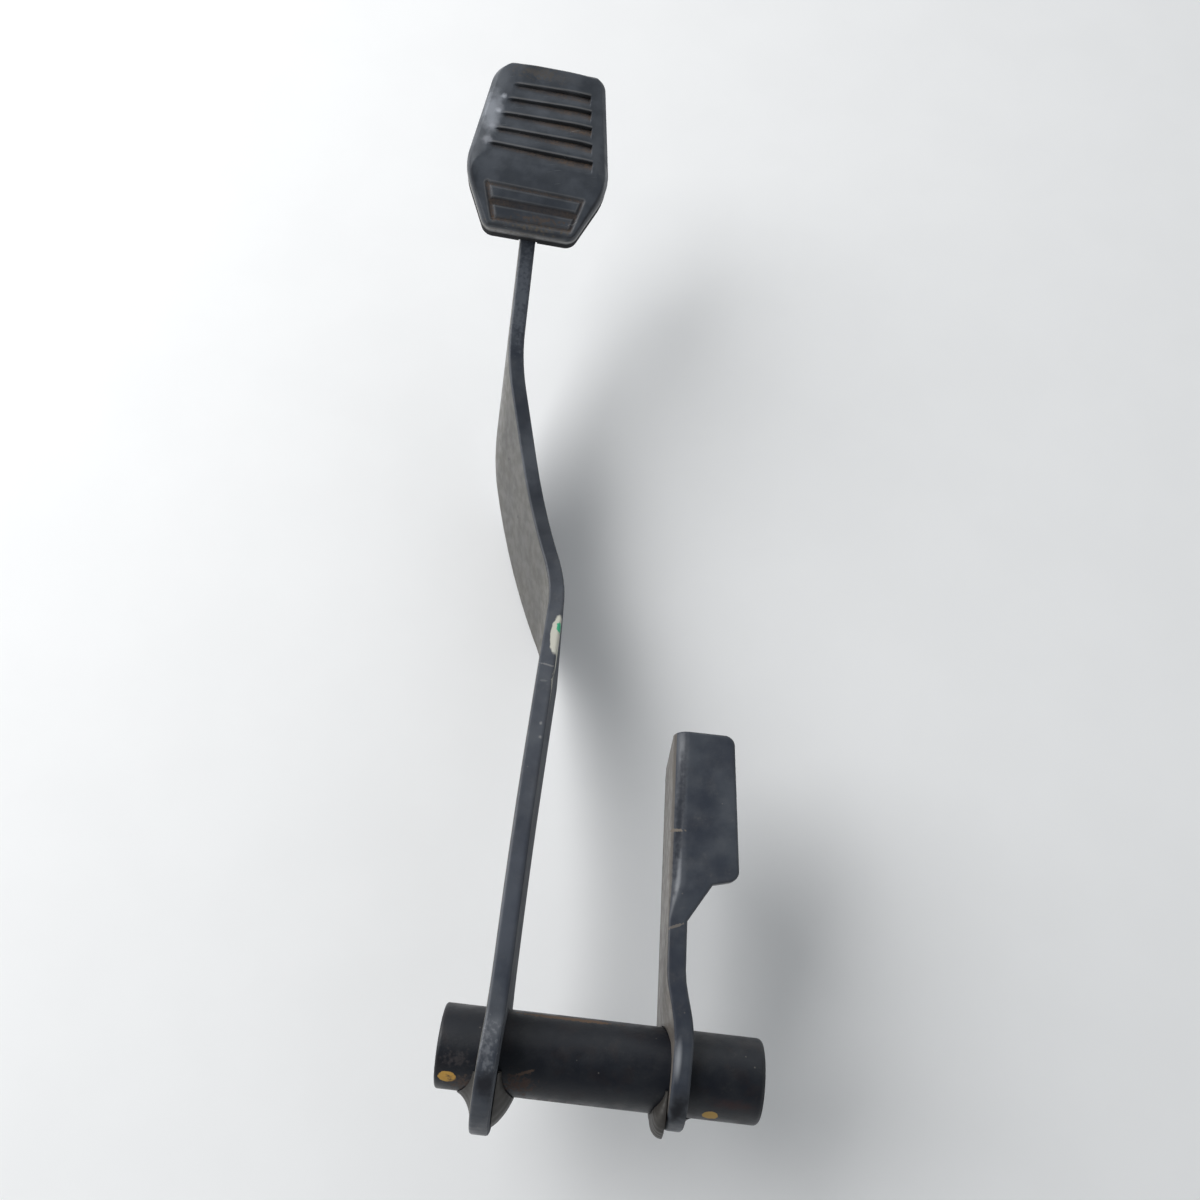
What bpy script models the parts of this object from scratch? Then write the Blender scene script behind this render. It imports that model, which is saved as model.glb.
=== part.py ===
"""Welded pedal on a cross tube, modelled as it is made.

X runs along the pivot tube, Y from the tube toward the pad, Z toward the driver.
The origin is the middle of the pivot axis. All sizes are in metres.
"""
import math

import bmesh
import bpy
from mathutils import Matrix, Vector

# Clearances
SEAT_GAP = 0.0003
RUNNING_GAP = 0.00009

# Cross tube, bushes and pivot sleeve
TUBE_LENGTH = 0.101
TUBE_RADIUS = 0.0127
TUBE_WALL = 0.0026
TUBE_LEFT_END_ROUND = 0.0009
TUBE_RIGHT_END_ROUND = 0.0018
BUSH_LENGTH = 0.018
BUSH_RECESS = 0.0006
SLEEVE_RADIUS = 0.0070
SLEEVE_BORE_RADIUS = 0.0052
SLEEVE_STAND_OUT = 0.0005
ROUND_SEGMENTS = 48

# Arm: one bar on edge, its blank drawn in the YZ plane and pressed toward -X
TUBE_STUB_LEFT = 0.0143
ARM_LEFT_X = -(TUBE_LENGTH / 2 - TUBE_STUB_LEFT)
ARM_THICKNESS = 0.0060
ARM_BOSS_RADIUS = 0.0243
ARM_FRONT_Z = 0.0218
ARM_DEPTH_LOW = 0.0345
ARM_DEPTH_MID = 0.0395
ARM_DEPTH_END = 0.0190
ARM_EDGE_ROUND = 0.0008
FOOT_LEAN_ANGLE = math.radians(2.2)
FOOT_LEAN_Y = 0.0180
ARM_FRONT_FILLET = 0.0080
ARM_BACK_FILLET = 0.0150
DIP_START_Y = 0.0690
DIP_ANGLE = math.radians(19.6)
RISE_START_Y = 0.1835
RISE_ANGLE = math.radians(16.86)
PROFILE_BLEND = 0.0310
KNEE_BEND = dict(y=0.1605, tilt=0.81, angle=math.radians(27.2), radius=0.0445)
NECK_BEND = dict(y=0.2430, tilt=0.515, angle=math.radians(-21.1), radius=0.0435)
BEND_STRIPS = 7

# Side lever: ring, strap and flange bent from one plate
LEVER_THICKNESS = 0.0060
TUBE_STUB_RIGHT = 0.0232
LEVER_RING_X = TUBE_LENGTH / 2 - TUBE_STUB_RIGHT - LEVER_THICKNESS
LEVER_RING_RADIUS = 0.0170
LEVER_SET_OVER = 0.0027
LEVER_STRAP_X = LEVER_RING_X - LEVER_SET_OVER
LEVER_LEAN_ANGLE = math.radians(3.06)
LEVER_FRONT_Z = 0.0185
LEVER_TOP_Y = 0.1050
LEVER_TOP_BACK_Y = 0.0985
SET_START_Y = 0.0080
SET_END_Y = 0.0300
SET_TILT_ANGLE = math.radians(28.8)
FLANGE_START_Y = 0.0445
FLANGE_NOTCH_Y = 0.0566
FLANGE_NOTCH_WIDTH = 0.0109
FLANGE_LOW_Y = 0.0587
FLANGE_LOW_WIDTH = 0.0191
FLANGE_TOP_WIDTH = 0.0144
FLANGE_CORNER = 0.0034
BEND_OUTER_RADIUS = 0.0050
BEND_INNER_RADIUS = 0.0012
LEVER_EDGE_ROUND = 0.0006
RING_EDGE_ROUND = 0.0013

# Pad: a steel plate and the rubber pulled over it, in the pad's own frame
PAD_SEAT_Y = 0.3200
PAD_SIDE_SHIFT = 0.0008
PAD_TURN = math.radians(-1.9)
PAD_ROLL = math.radians(-2.0)
PAD_TOP_L = 0.0434
ARM_UNDER_PAD_SHARE = 0.4839
ARM_END_Y = PAD_SEAT_Y + PAD_TOP_L * ARM_UNDER_PAD_SHARE
PAD_WAIST_L = -0.0012
PAD_BOTTOM_L = -0.0240
PAD_TOP_HALF = 0.0212
PAD_WAIST_HALF = 0.0284
PAD_BOTTOM_HALF = 0.0174
PAD_TOP_CORNER = 0.0105
PAD_WAIST_CORNER = 0.0280
PAD_BOTTOM_CORNER = 0.0050
PLATE_THICKNESS = 0.0025
RUBBER_WALL = 0.0030
RUBBER_LIP = 0.0018
RUBBER_LIP_WIDTH = 0.0045
RUBBER_SIDE_HEIGHT = 0.0058
RUBBER_CROWN = 0.0052
LOUVRE_COUNT = 5
LOUVRE_TOP_L = 0.0335
LOUVRE_PITCH = 0.0062
LOUVRE_DEPTH = 0.0020
FRAME_TOP_L = -0.0085
FRAME_BOTTOM_L = -0.0205
FRAME_TOP_HALF = 0.0184
FRAME_BOTTOM_HALF = 0.0149
FRAME_TOP_DIP = 0.0010
FRAME_BOTTOM_DIP = 0.0004
GROOVE_WIDTH = 0.0016
MIDDLE_GROOVE_WIDTH = 0.0024
GROOVE_DEPTH = 0.0008
EDGE_ROUND_WIDTH = 0.0030
FLANK_WIDTH = 0.0130

# Weld beads
ARM_WELD_LEFT = dict(leg=0.0060, out_share=1.50, belly_share=0.36, start_quarters=1.30, end_quarters=3.30)
ARM_WELD_RIGHT = dict(leg=0.0056, out_share=1.60, belly_share=0.58, start_quarters=1.25, end_quarters=3.30)
LEVER_WELD_LEFT = dict(leg=0.0040, out_share=1.55, belly_share=0.62, start_quarters=1.25, end_quarters=2.60)
LEVER_WELD_RIGHT = dict(leg=0.0038, out_share=1.0, belly_share=0.36, start_quarters=1.90, end_quarters=2.80)
PAD_WELD_LEG = 0.0026
BEAD_RIPPLE = 0.05


def clear_objects():
    for item in list(bpy.data.objects):
        bpy.data.objects.remove(item, do_unlink=True)


def paint(name, colour, roughness, metallic):
    material = bpy.data.materials.new(name)
    material.use_nodes = True
    shader = material.node_tree.nodes["Principled BSDF"]
    shader.inputs["Base Color"].default_value = (*colour, 1.0)
    shader.inputs["Roughness"].default_value = roughness
    shader.inputs["Metallic"].default_value = metallic
    return material


def object_from(name, bm, material, smooth_below=math.radians(35)):
    bmesh.ops.recalc_face_normals(bm, faces=bm.faces)
    mesh = bpy.data.meshes.new(name)
    bm.to_mesh(mesh)
    bm.free()
    mesh.materials.append(material)
    mesh.shade_smooth()
    mesh.set_sharp_from_angle(angle=smooth_below)
    item = bpy.data.objects.new(name, mesh)
    bpy.context.scene.collection.objects.link(item)
    return item


def loft(sections, closed_ring=False):
    """A closed mesh through sections with equal point counts."""
    bm = bmesh.new()
    rings = [[bm.verts.new(point) for point in section] for section in sections]
    count = len(rings[0])
    pairs = list(zip(rings, rings[1:]))
    if closed_ring:
        pairs.append((rings[-1], rings[0]))
    for low, high in pairs:
        for i in range(count):
            j = (i + 1) % count
            bm.faces.new((low[i], low[j], high[j], high[i]))
    if not closed_ring:
        bm.faces.new(rings[0])
        bm.faces.new(rings[-1])
    return bm


def turned(profile):
    """Turn a closed (x, radius) profile about the X axis."""
    bm = bmesh.new()
    verts = [bm.verts.new((x, 0.0, r)) for x, r in profile]
    edges = [bm.edges.new((verts[i - 1], verts[i])) for i in range(len(verts))]
    bmesh.ops.spin(bm, geom=verts + edges, cent=(0, 0, 0), axis=(1, 0, 0),
                   angle=math.tau, steps=ROUND_SEGMENTS, use_merge=True)
    bmesh.ops.remove_doubles(bm, verts=bm.verts, dist=1e-6)
    return bm


def prism(outline, direction):
    """Extrude a closed outline of 3-D points along a vector."""
    bm = bmesh.new()
    face = bm.faces.new([bm.verts.new(point) for point in outline])
    side = bmesh.ops.extrude_face_region(bm, geom=[face])
    moved = [v for v in side["geom"] if isinstance(v, bmesh.types.BMVert)]
    bmesh.ops.translate(bm, verts=moved, vec=direction)
    return bm


def hide_cutter(item):
    item.hide_render = True
    item.display_type = 'WIRE'
    return item


def boolean(item, cutter, operation='DIFFERENCE'):
    step = item.modifiers.new(cutter.name, 'BOOLEAN')
    step.operation = operation
    step.solver = 'EXACT'
    step.object = cutter


def arc(centre, radius, start, end, count):
    """Points of an arc in a plane, from start to end in radians."""
    angles = [start + (end - start) * i / (count - 1) for i in range(count)]
    return [(centre[0] + radius * math.cos(a), centre[1] + radius * math.sin(a)) for a in angles]


def ramp(distance, blend):
    """Zero before the bend, the distance after it, and a parabola between."""
    if distance <= -blend:
        return 0.0
    if distance >= blend:
        return distance
    return (distance + blend) ** 2 / (4 * blend)


def ease(value, low, high):
    t = min(1.0, max(0.0, (value - low) / (high - low)))
    return t * t * (3 - 2 * t)


# Cross tube, bushes and sleeve

def tube_bore_radius():
    return TUBE_RADIUS - TUBE_WALL


def build_tube(steel):
    half, outer, inner = TUBE_LENGTH / 2, TUBE_RADIUS, tube_bore_radius()
    left, right = TUBE_LEFT_END_ROUND, TUBE_RIGHT_END_ROUND
    lead = TUBE_WALL * 0.2
    profile = [(-half + lead, inner), (-half, inner + lead)]
    profile += arc((-half + left, outer - left), left, math.pi, math.pi / 2, 4)
    profile += arc((half - right, outer - right), right, math.pi / 2, 0.0, 4)
    profile += [(half, inner + lead), (half - lead, inner)]
    return object_from("cross_tube", turned(profile), steel)


def build_bush(name, side, nylon):
    outer = tube_bore_radius() - SEAT_GAP
    inner = SLEEVE_RADIUS + RUNNING_GAP
    lead = (outer - inner) * 0.2
    end = TUBE_LENGTH / 2 - BUSH_RECESS
    start = end - BUSH_LENGTH
    profile = [(start, inner), (start, outer - lead), (start + lead, outer), (end, outer),
               (end, inner + lead),
               (end - lead, inner)]
    return object_from(name, turned([(side * x, r) for x, r in profile]), nylon)


def build_sleeve(steel):
    end = TUBE_LENGTH / 2 + SLEEVE_STAND_OUT
    lead = (SLEEVE_RADIUS - SLEEVE_BORE_RADIUS) * 0.25
    outer, inner = SLEEVE_RADIUS, SLEEVE_BORE_RADIUS
    profile = [(-end, inner), (-end, outer - lead), (-end + lead, outer), (end - lead, outer),
               (end, outer - lead), (end, inner)]
    return object_from("pivot_sleeve", turned(profile), steel)


# Arm

def front_edge_z(y):
    """Height of the arm's front edge in the blank: level, a dip, then a rise to the pad."""
    dip_slope, rise_slope = math.tan(DIP_ANGLE), math.tan(RISE_ANGLE)
    dip = dip_slope * ramp(y - DIP_START_Y, PROFILE_BLEND)
    rise = (dip_slope + rise_slope) * ramp(y - RISE_START_Y, PROFILE_BLEND)
    return ARM_FRONT_Z - dip + rise


def edge_slope_angle(y):
    step = 0.0005
    return math.atan2(front_edge_z(y + step) - front_edge_z(y - step), 2 * step)


def arm_depth(y):
    swell = ease(y, DIP_START_Y, RISE_START_Y)
    taper = ease(y, RISE_START_Y, ARM_END_Y)
    return ARM_DEPTH_LOW + (ARM_DEPTH_MID - ARM_DEPTH_LOW) * swell + (ARM_DEPTH_END - ARM_DEPTH_MID) * taper


def back_edge_point(y):
    """The point square across the bar from the front edge at y."""
    turn = edge_slope_angle(y)
    depth = arm_depth(y)
    return (y + depth * math.sin(turn), front_edge_z(y) - depth * math.cos(turn))


def boss_fillet(edge_z, fillet):
    """Tangent points of a fillet from the boss circle to a straight edge at edge_z."""
    side = math.copysign(1.0, edge_z)
    reach = ARM_BOSS_RADIUS + fillet
    centre_z = edge_z + side * fillet
    centre_y = math.sqrt(max(reach ** 2 - centre_z ** 2, 0.0))
    boss_angle = math.atan2(centre_z, centre_y)
    return (centre_y, centre_z), boss_angle


def arm_blank_outline():
    """The blanked side outline, anticlockwise in (y, z), starting on the boss's front."""
    front_centre, front_angle = boss_fillet(ARM_FRONT_Z, ARM_FRONT_FILLET)
    back_centre, back_angle = boss_fillet(ARM_FRONT_Z - ARM_DEPTH_LOW, ARM_BACK_FILLET)
    outline = arc((0, 0), ARM_BOSS_RADIUS, front_angle, back_angle + math.tau, 40)
    outline += arc(back_centre, ARM_BACK_FILLET, back_angle + math.pi, math.pi / 2, 6)[1:]
    stations = [back_centre[0] + (ARM_END_Y - back_centre[0]) * i / 44 for i in range(1, 45)]
    low_run = [back_edge_point(y) for y in stations]
    outline += low_run[:-1]
    turn = edge_slope_angle(ARM_END_Y)
    end_back, end_front = low_run[-1], (ARM_END_Y, front_edge_z(ARM_END_Y))
    corner = ARM_DEPTH_END * 0.45
    along = (math.cos(turn), math.sin(turn))
    across = (-math.sin(turn), math.cos(turn))
    round_centre = (end_back[0] + across[0] * corner, end_back[1] + across[1] * corner)
    outline += arc(round_centre, corner, turn - math.pi / 2, turn, 6)
    tip = (end_front[0] + along[0] * corner, end_front[1] + along[1] * corner)
    outline.append(tip)
    front_start = front_centre[0]
    high_run = [front_start + (ARM_END_Y - front_start) * i / 44 for i in range(44, 0, -1)]
    outline += [(y, front_edge_z(y)) for y in high_run]
    outline += arc(front_centre, ARM_FRONT_FILLET, 1.5 * math.pi, front_angle + math.pi, 5)[:-1]
    return outline


def bend_frame(bend):
    """Origin, direction along the bend line and direction across it, in the sheet's middle plane."""
    origin = Vector((ARM_LEFT_X + ARM_THICKNESS / 2, bend["y"], 0.0))
    along = Vector((0.0, bend["tilt"], 1.0)).normalized()
    across = Vector((0.0, along.z, -along.y))
    return origin, along, across


def bend_point(point, bend):
    """Roll a sheet point round the bend; a positive angle turns the far side toward -X."""
    origin, along, across = bend_frame(bend)
    offset = point - origin
    run, rest, height = offset.dot(across), offset.dot(along), offset.x
    if run <= 0.0:
        return point.copy()
    sign = math.copysign(1.0, bend["angle"])
    total, radius = abs(bend["angle"]), bend["radius"]
    turn = min(run / radius, total)
    beyond = max(run - radius * total, 0.0)
    lever = radius + sign * height
    new_run = lever * math.sin(turn) + beyond * math.cos(turn)
    new_side = radius - lever * math.cos(turn) + beyond * math.sin(turn)
    return origin + across * new_run + along * rest + Vector((-sign * new_side, 0.0, 0.0))


def foot_shift(y):
    """The boss end of the arm leans slightly toward -X."""
    return -math.tan(FOOT_LEAN_ANGLE) * ramp(FOOT_LEAN_Y - y, FOOT_LEAN_Y / 2)


def press(point):
    """The pressed position of a point of the flat blank."""
    leaning = point + Vector((foot_shift(point.y), 0.0, 0.0))
    return bend_point(bend_point(leaning, NECK_BEND), KNEE_BEND)


def score_bend(bm, bend):
    """Cut the blank into narrow strips along a bend, so that it rolls smoothly."""
    origin, _, across = bend_frame(bend)
    length = abs(bend["angle"]) * bend["radius"]
    for i in range(BEND_STRIPS + 1):
        geometry = bm.verts[:] + bm.edges[:] + bm.faces[:]
        place = origin + across * (length * i / BEND_STRIPS)
        bmesh.ops.bisect_plane(bm, geom=geometry, plane_co=place, plane_no=across, dist=1e-7)


def build_arm(steel):
    outline = [(ARM_LEFT_X, y, z) for y, z in arm_blank_outline()]
    bm = prism(outline, (ARM_THICKNESS, 0, 0))
    rim = [e for e in bm.edges if abs(e.verts[0].co.x - e.verts[1].co.x) < 1e-7]
    bmesh.ops.bevel(bm, geom=rim, offset=ARM_EDGE_ROUND, segments=2, profile=0.5, affect='EDGES')
    score_bend(bm, KNEE_BEND)
    score_bend(bm, NECK_BEND)
    for vert in bm.verts:
        vert.co = press(vert.co)
    bmesh.ops.triangulate(bm, faces=[f for f in bm.faces if len(f.verts) > 4])
    arm = object_from("pedal_arm", bm, steel)
    boolean(arm, tube_cutter("arm_tube_cutter", ARM_LEFT_X, ARM_THICKNESS))
    return arm


def tube_cutter(name, left_x, thickness):
    radius = TUBE_RADIUS + SEAT_GAP
    over = thickness
    profile = [(left_x - over, radius), (left_x + thickness + over, radius)]
    ring = [[(x, r * math.cos(a), r * math.sin(a)) for a in
             [math.tau * i / ROUND_SEGMENTS for i in range(ROUND_SEGMENTS)]] for x, r in profile]
    return hide_cutter(object_from(name, loft(ring), cutter_material()))


def cutter_material():
    found = bpy.data.materials.get("cutter")
    return found or paint("cutter", (0.8, 0.2, 0.1), 0.5, 0.0)


# Side lever

def lever_left_x(y, z):
    """The plate's left face: square at the ring, then set over to a slightly leaning strap."""
    strap = LEVER_STRAP_X - math.tan(LEVER_LEAN_ANGLE) * y
    along_set = y + (LEVER_FRONT_Z - z) * math.tan(SET_TILT_ANGLE)
    return LEVER_RING_X + (strap - LEVER_RING_X) * ease(along_set, SET_START_Y, SET_END_Y)


def lever_right_x(y):
    return lever_left_x(y, LEVER_FRONT_Z) + LEVER_THICKNESS


def rounded_path(corners):
    """A path through (x, y, radius) corners with an arc at each one between the ends."""
    path = [Vector(corners[0][:2])]
    for before, here, after in zip(corners, corners[1:], corners[2:]):
        place = Vector(here[:2])
        back = (Vector(before[:2]) - place).normalized()
        ahead = (Vector(after[:2]) - place).normalized()
        half = back.angle(ahead) / 2
        centre = place + (back + ahead).normalized() * (here[2] / math.sin(half))
        reach = here[2] / math.tan(half)
        start = place + back * reach - centre
        turn = math.pi - 2 * half
        if back.cross(ahead) > 0:
            turn = -turn
        path += [centre + Matrix.Rotation(turn * i / 6, 2) @ start for i in range(7)]
    path.append(Vector(corners[-1][:2]))
    return path


def flange_path():
    """Right-hand edge of the flange in (x, y), from the strap to the top end."""
    notch_x, low_x, top_x = (LEVER_STRAP_X + width for width in
                             (FLANGE_NOTCH_WIDTH, FLANGE_LOW_WIDTH, FLANGE_TOP_WIDTH))
    corners = [(lever_right_x(FLANGE_START_Y), FLANGE_START_Y, 0.0),
               (notch_x, FLANGE_NOTCH_Y, FLANGE_CORNER * 0.25),
               (low_x, FLANGE_LOW_Y, FLANGE_CORNER), (top_x, LEVER_TOP_Y, FLANGE_CORNER),
               (top_x - FLANGE_CORNER * 1.5, LEVER_TOP_Y + SEAT_GAP / 3, 0.0)]
    return rounded_path(corners)


def lever_section(y, tip):
    """The plate's closed section at y: strap, bend, and the flange out to tip."""
    front, thick = LEVER_FRONT_Z, LEVER_THICKNESS
    back = -LEVER_RING_RADIUS - thick
    formed = ease(y, FLANGE_START_Y, FLANGE_NOTCH_Y)
    outer = LEVER_EDGE_ROUND + (BEND_OUTER_RADIUS - LEVER_EDGE_ROUND) * formed
    inner, soft = BEND_INNER_RADIUS, LEVER_EDGE_ROUND
    right = lever_right_x(y)
    strap_z = [back + (front - BEND_OUTER_RADIUS - thick - back) * i / 4 for i in range(5)]
    section = [(lever_left_x(y, z), z) for z in strap_z]
    left = lever_left_x(y, front)
    section += arc((left + outer, front - outer), outer, math.pi, math.pi / 2, 6)
    section += [(tip - soft, front), (tip, front - soft), (tip, front - thick)]
    hollow = arc((right + inner, front - thick - inner), inner, math.pi / 2, math.pi, 4)
    reach = min(1.0, (tip - right) / inner)
    section += [(right + (x - right) * formed * reach, z) for x, z in hollow]
    section += [(lever_left_x(y, z) + thick, z) for z in reversed(strap_z)]
    return [(x, y, z) for x, z in section]


def lever_side_outline(inset):
    """Side outline in (y, z), its foot moved in by inset: round foot, strap, sloping top edge."""
    front = LEVER_FRONT_Z + LEVER_THICKNESS
    back = -LEVER_RING_RADIUS
    foot = LEVER_RING_RADIUS - inset
    outline = arc((0, 0), foot, math.pi / 2, 1.5 * math.pi, 21)
    top_round = LEVER_RING_RADIUS * 0.2
    slope = (LEVER_TOP_Y - LEVER_TOP_BACK_Y) / (LEVER_FRONT_Z - back)
    outline += [(LEVER_TOP_BACK_Y - top_round, back + inset), (LEVER_TOP_BACK_Y, back + top_round)]
    outline += [(LEVER_TOP_BACK_Y + slope * (front - back), front)]
    outline += [(SET_END_Y * 1.2, front), (SET_END_Y * 0.8, LEVER_FRONT_Z + LEVER_EDGE_ROUND / 2)]
    swell = (LEVER_FRONT_Z - LEVER_RING_RADIUS) * 0.35
    outline += [(SET_START_Y * 1.2, LEVER_RING_RADIUS + swell - inset / 2)]
    return outline


def lever_outline_cutter():
    """The side outline as a solid that follows the plate's faces and rounds the foot's edges."""
    thick, soft = LEVER_THICKNESS, RING_EDGE_ROUND
    rounding = [(0.0, soft), (soft * 0.134, soft * 0.5), (soft * 0.5, soft * 0.134), (soft, 0.0)]
    places = rounding + [(thick - shift, inset) for shift, inset in reversed(rounding)]
    sections = [[(-thick, y, z) for y, z in lever_side_outline(soft)]]
    for shift, inset in places:
        sections.append([(lever_left_x(y, z) + shift, y, z) for y, z in lever_side_outline(inset)])
    beyond = LEVER_STRAP_X + FLANGE_LOW_WIDTH + thick
    sections.append([(beyond, y, z) for y, z in lever_side_outline(soft)])
    bm = loft(sections)
    bmesh.ops.triangulate(bm, faces=[f for f in bm.faces if len(f.verts) == 4])
    return hide_cutter(object_from("lever_outline", bm, cutter_material()))


def build_lever(steel):
    top = lever_right_x(0.0)
    rows = [(-LEVER_RING_RADIUS - LEVER_THICKNESS, top), (-LEVER_RING_RADIUS * 0.7, top), (0.0, top)]
    set_rows = [SET_START_Y + (SET_END_Y - SET_START_Y) * i / 6 for i in range(7)]
    rows += [(y, lever_right_x(y)) for y in set_rows]
    rows += [(point.y, point.x) for point in flange_path()]
    bm = loft([lever_section(y, tip) for y, tip in rows])
    bmesh.ops.remove_doubles(bm, verts=bm.verts, dist=1e-6)
    bmesh.ops.triangulate(bm, faces=bm.faces)
    lever = object_from("side_lever", bm, steel)
    boolean(lever, lever_outline_cutter(), 'INTERSECT')
    boolean(lever, tube_cutter("lever_tube_cutter", LEVER_RING_X, LEVER_THICKNESS))
    return lever


# Pad

def pad_frame():
    """The pad's seat on the pressed arm: X across, Y along the front edge, Z out of the tread."""
    middle = ARM_LEFT_X + ARM_THICKNESS / 2
    step = 0.001
    turn = edge_slope_angle(PAD_SEAT_Y)
    start = Vector((middle, PAD_SEAT_Y, front_edge_z(PAD_SEAT_Y)))
    seat = press(start)
    across = (press(start + Vector((step, 0, 0))) - seat).normalized()
    ahead = Vector((0, math.cos(turn), math.sin(turn)))
    along = (press(start + ahead * step) - seat).normalized()
    out = across.cross(along)
    frame = Matrix((across, along, out)).transposed().to_4x4() @ Matrix.Rotation(PAD_ROLL, 4, 'Y')
    frame.translation = seat
    return frame


def seat_empty():
    seat = bpy.data.objects.new("pad_seat", None)
    seat.matrix_world = pad_frame()
    bpy.context.scene.collection.objects.link(seat)
    return seat


def pad_corners(inset):
    """Corners of the six-sided outline moved in by inset, with each corner's radius."""
    right = [(PAD_TOP_HALF, PAD_TOP_L, PAD_TOP_CORNER), (PAD_WAIST_HALF, PAD_WAIST_L, PAD_WAIST_CORNER),
             (PAD_BOTTOM_HALF, PAD_BOTTOM_L, PAD_BOTTOM_CORNER)]
    ring = [(-w, l, r) for w, l, r in reversed(right)] + right
    moved = []
    for i, (w, l, r) in enumerate(ring):
        before, after = ring[i - 1], ring[(i + 1) % len(ring)]
        a = Vector((w - before[0], l - before[1])).normalized()
        b = Vector((after[0] - w, after[1] - l)).normalized()
        inward = (Vector((a.y, -a.x)) + Vector((b.y, -b.x))).normalized()
        half = a.angle(b) / 2
        place = Vector((w, l)) + inward * (inset / math.cos(half))
        moved.append((place, a, b, max(r - inset, 0.0012)))
    return moved


def pad_outline(inset, per_corner=7):
    """The rounded outline moved in by inset, in pad coordinates."""
    points = []
    for place, a, b, radius in pad_corners(inset):
        half = a.angle(b) / 2
        inward = (Vector((a.y, -a.x)) + Vector((b.y, -b.x))).normalized()
        centre = place + inward * (radius / math.cos(half))
        start = math.atan2(a.x, -a.y)
        for i in range(per_corner):
            angle = start - 2 * half * i / (per_corner - 1)
            points.append(centre + radius * Vector((math.cos(angle), math.sin(angle))))
    spin = Matrix.Rotation(PAD_TURN, 2)
    return [spin @ p + Vector((PAD_SIDE_SHIFT, 0.0)) for p in points]


def crown_height(l):
    """Height of the tread's middle along the pad, highest at the waist."""
    upper = ease(l, PAD_WAIST_L, PAD_TOP_L)
    lower = ease(-l, -PAD_WAIST_L, -PAD_BOTTOM_L)
    return RUBBER_SIDE_HEIGHT + RUBBER_CROWN * (1.0 - 0.30 * upper - 0.42 * lower)


def half_width(l):
    """Half width of the pad's outline at l."""
    if l > PAD_WAIST_L:
        share = (l - PAD_WAIST_L) / (PAD_TOP_L - PAD_WAIST_L)
        return PAD_WAIST_HALF + (PAD_TOP_HALF - PAD_WAIST_HALF) * share
    share = (PAD_WAIST_L - l) / (PAD_WAIST_L - PAD_BOTTOM_L)
    return PAD_WAIST_HALF + (PAD_BOTTOM_HALF - PAD_WAIST_HALF) * share


def tread_height(w, l):
    """Height of the tread: a tight round at the outline, then a broad convex flank."""
    side = half_width(l) - abs(w - PAD_SIDE_SHIFT)
    inset = max(0.0, min(side, PAD_TOP_L - l, l - PAD_BOTTOM_L))
    edge = math.sin(math.pi / 2 * min(1.0, inset / EDGE_ROUND_WIDTH))
    flank = math.sin(math.pi / 2 * min(1.0, max(0.0, side) / FLANK_WIDTH))
    rise = crown_height(l) - RUBBER_SIDE_HEIGHT
    return RUBBER_SIDE_HEIGHT + rise * edge * (0.62 + 0.38 * flank)


def build_rubber_body():
    lip_low = -RUBBER_LIP
    rings = []
    for inset, height in [(0.0010, lip_low), (0.0003, lip_low + 0.0006), (0.0, lip_low + 0.0016),
                          (0.0, RUBBER_SIDE_HEIGHT * 0.8)]:
        rings.append([(p.x, p.y, height) for p in pad_outline(inset)])
    for inset in [0.0003, 0.0009, 0.0018, 0.0030, 0.0050, 0.0075, 0.0105, 0.0145]:
        rings.append([(p.x, p.y, tread_height(p.x, p.y)) for p in pad_outline(inset)])
    return rings


def close_tread(bm, last_ring):
    """Fill the tread inside the last ring with rungs that follow the crown."""
    count = len(last_ring)
    half = count // 2
    for i in range(half - 1):
        j = count - 1 - i
        corners = [last_ring[i], last_ring[i + 1], last_ring[j - 1], last_ring[j]]
        unique = list(dict.fromkeys(corners))
        if len(unique) > 2:
            bm.faces.new(unique)


def build_rubber(rubber, seat):
    rings = build_rubber_body()
    bm = bmesh.new()
    verts = [[bm.verts.new(p) for p in ring] for ring in rings]
    count = len(verts[0])
    for low, high in zip(verts, verts[1:]):
        for i in range(count):
            j = (i + 1) % count
            bm.faces.new((low[i], low[j], high[j], high[i]))
    bm.faces.new(verts[0])
    close_tread(bm, verts[-1])
    pad = object_from("pad_rubber", bm, rubber)
    pad.parent = seat
    cutters = [plate_pocket_cutter(), rear_window_cutter(), arm_slot_cutter()]
    cutters += [louvre_cutter(i) for i in range(LOUVRE_COUNT)]
    cutters += frame_cutters()
    for cutter in cutters:
        cutter.parent = seat
        boolean(pad, hide_cutter(cutter))
    return pad


def flat_prism(name, outline, low, high):
    bm = prism([(x, y, low) for x, y in outline], (0, 0, high - low))
    return object_from(name, bm, cutter_material())


def plate_inset():
    return RUBBER_WALL + SEAT_GAP


def plate_low():
    return SEAT_GAP


def plate_pocket_cutter():
    outline = pad_outline(plate_inset() - SEAT_GAP)
    return flat_prism("pad_pocket", outline, plate_low() - SEAT_GAP, plate_low() + PLATE_THICKNESS + SEAT_GAP)


def rear_window_cutter():
    outline = pad_outline(plate_inset() + RUBBER_LIP_WIDTH)
    return flat_prism("pad_window", outline, -RUBBER_LIP * 2, plate_low() + PLATE_THICKNESS / 2)


def arm_slot_cutter():
    half = ARM_THICKNESS / 2 + SEAT_GAP * 2
    low, high = PAD_BOTTOM_L * 1.3, PAD_WAIST_L
    outline = [(-half, low), (half, low), (half, high), (-half, high)]
    return flat_prism("pad_arm_slot", outline, -RUBBER_LIP * 2, plate_low() + PLATE_THICKNESS * 0.4)


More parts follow.
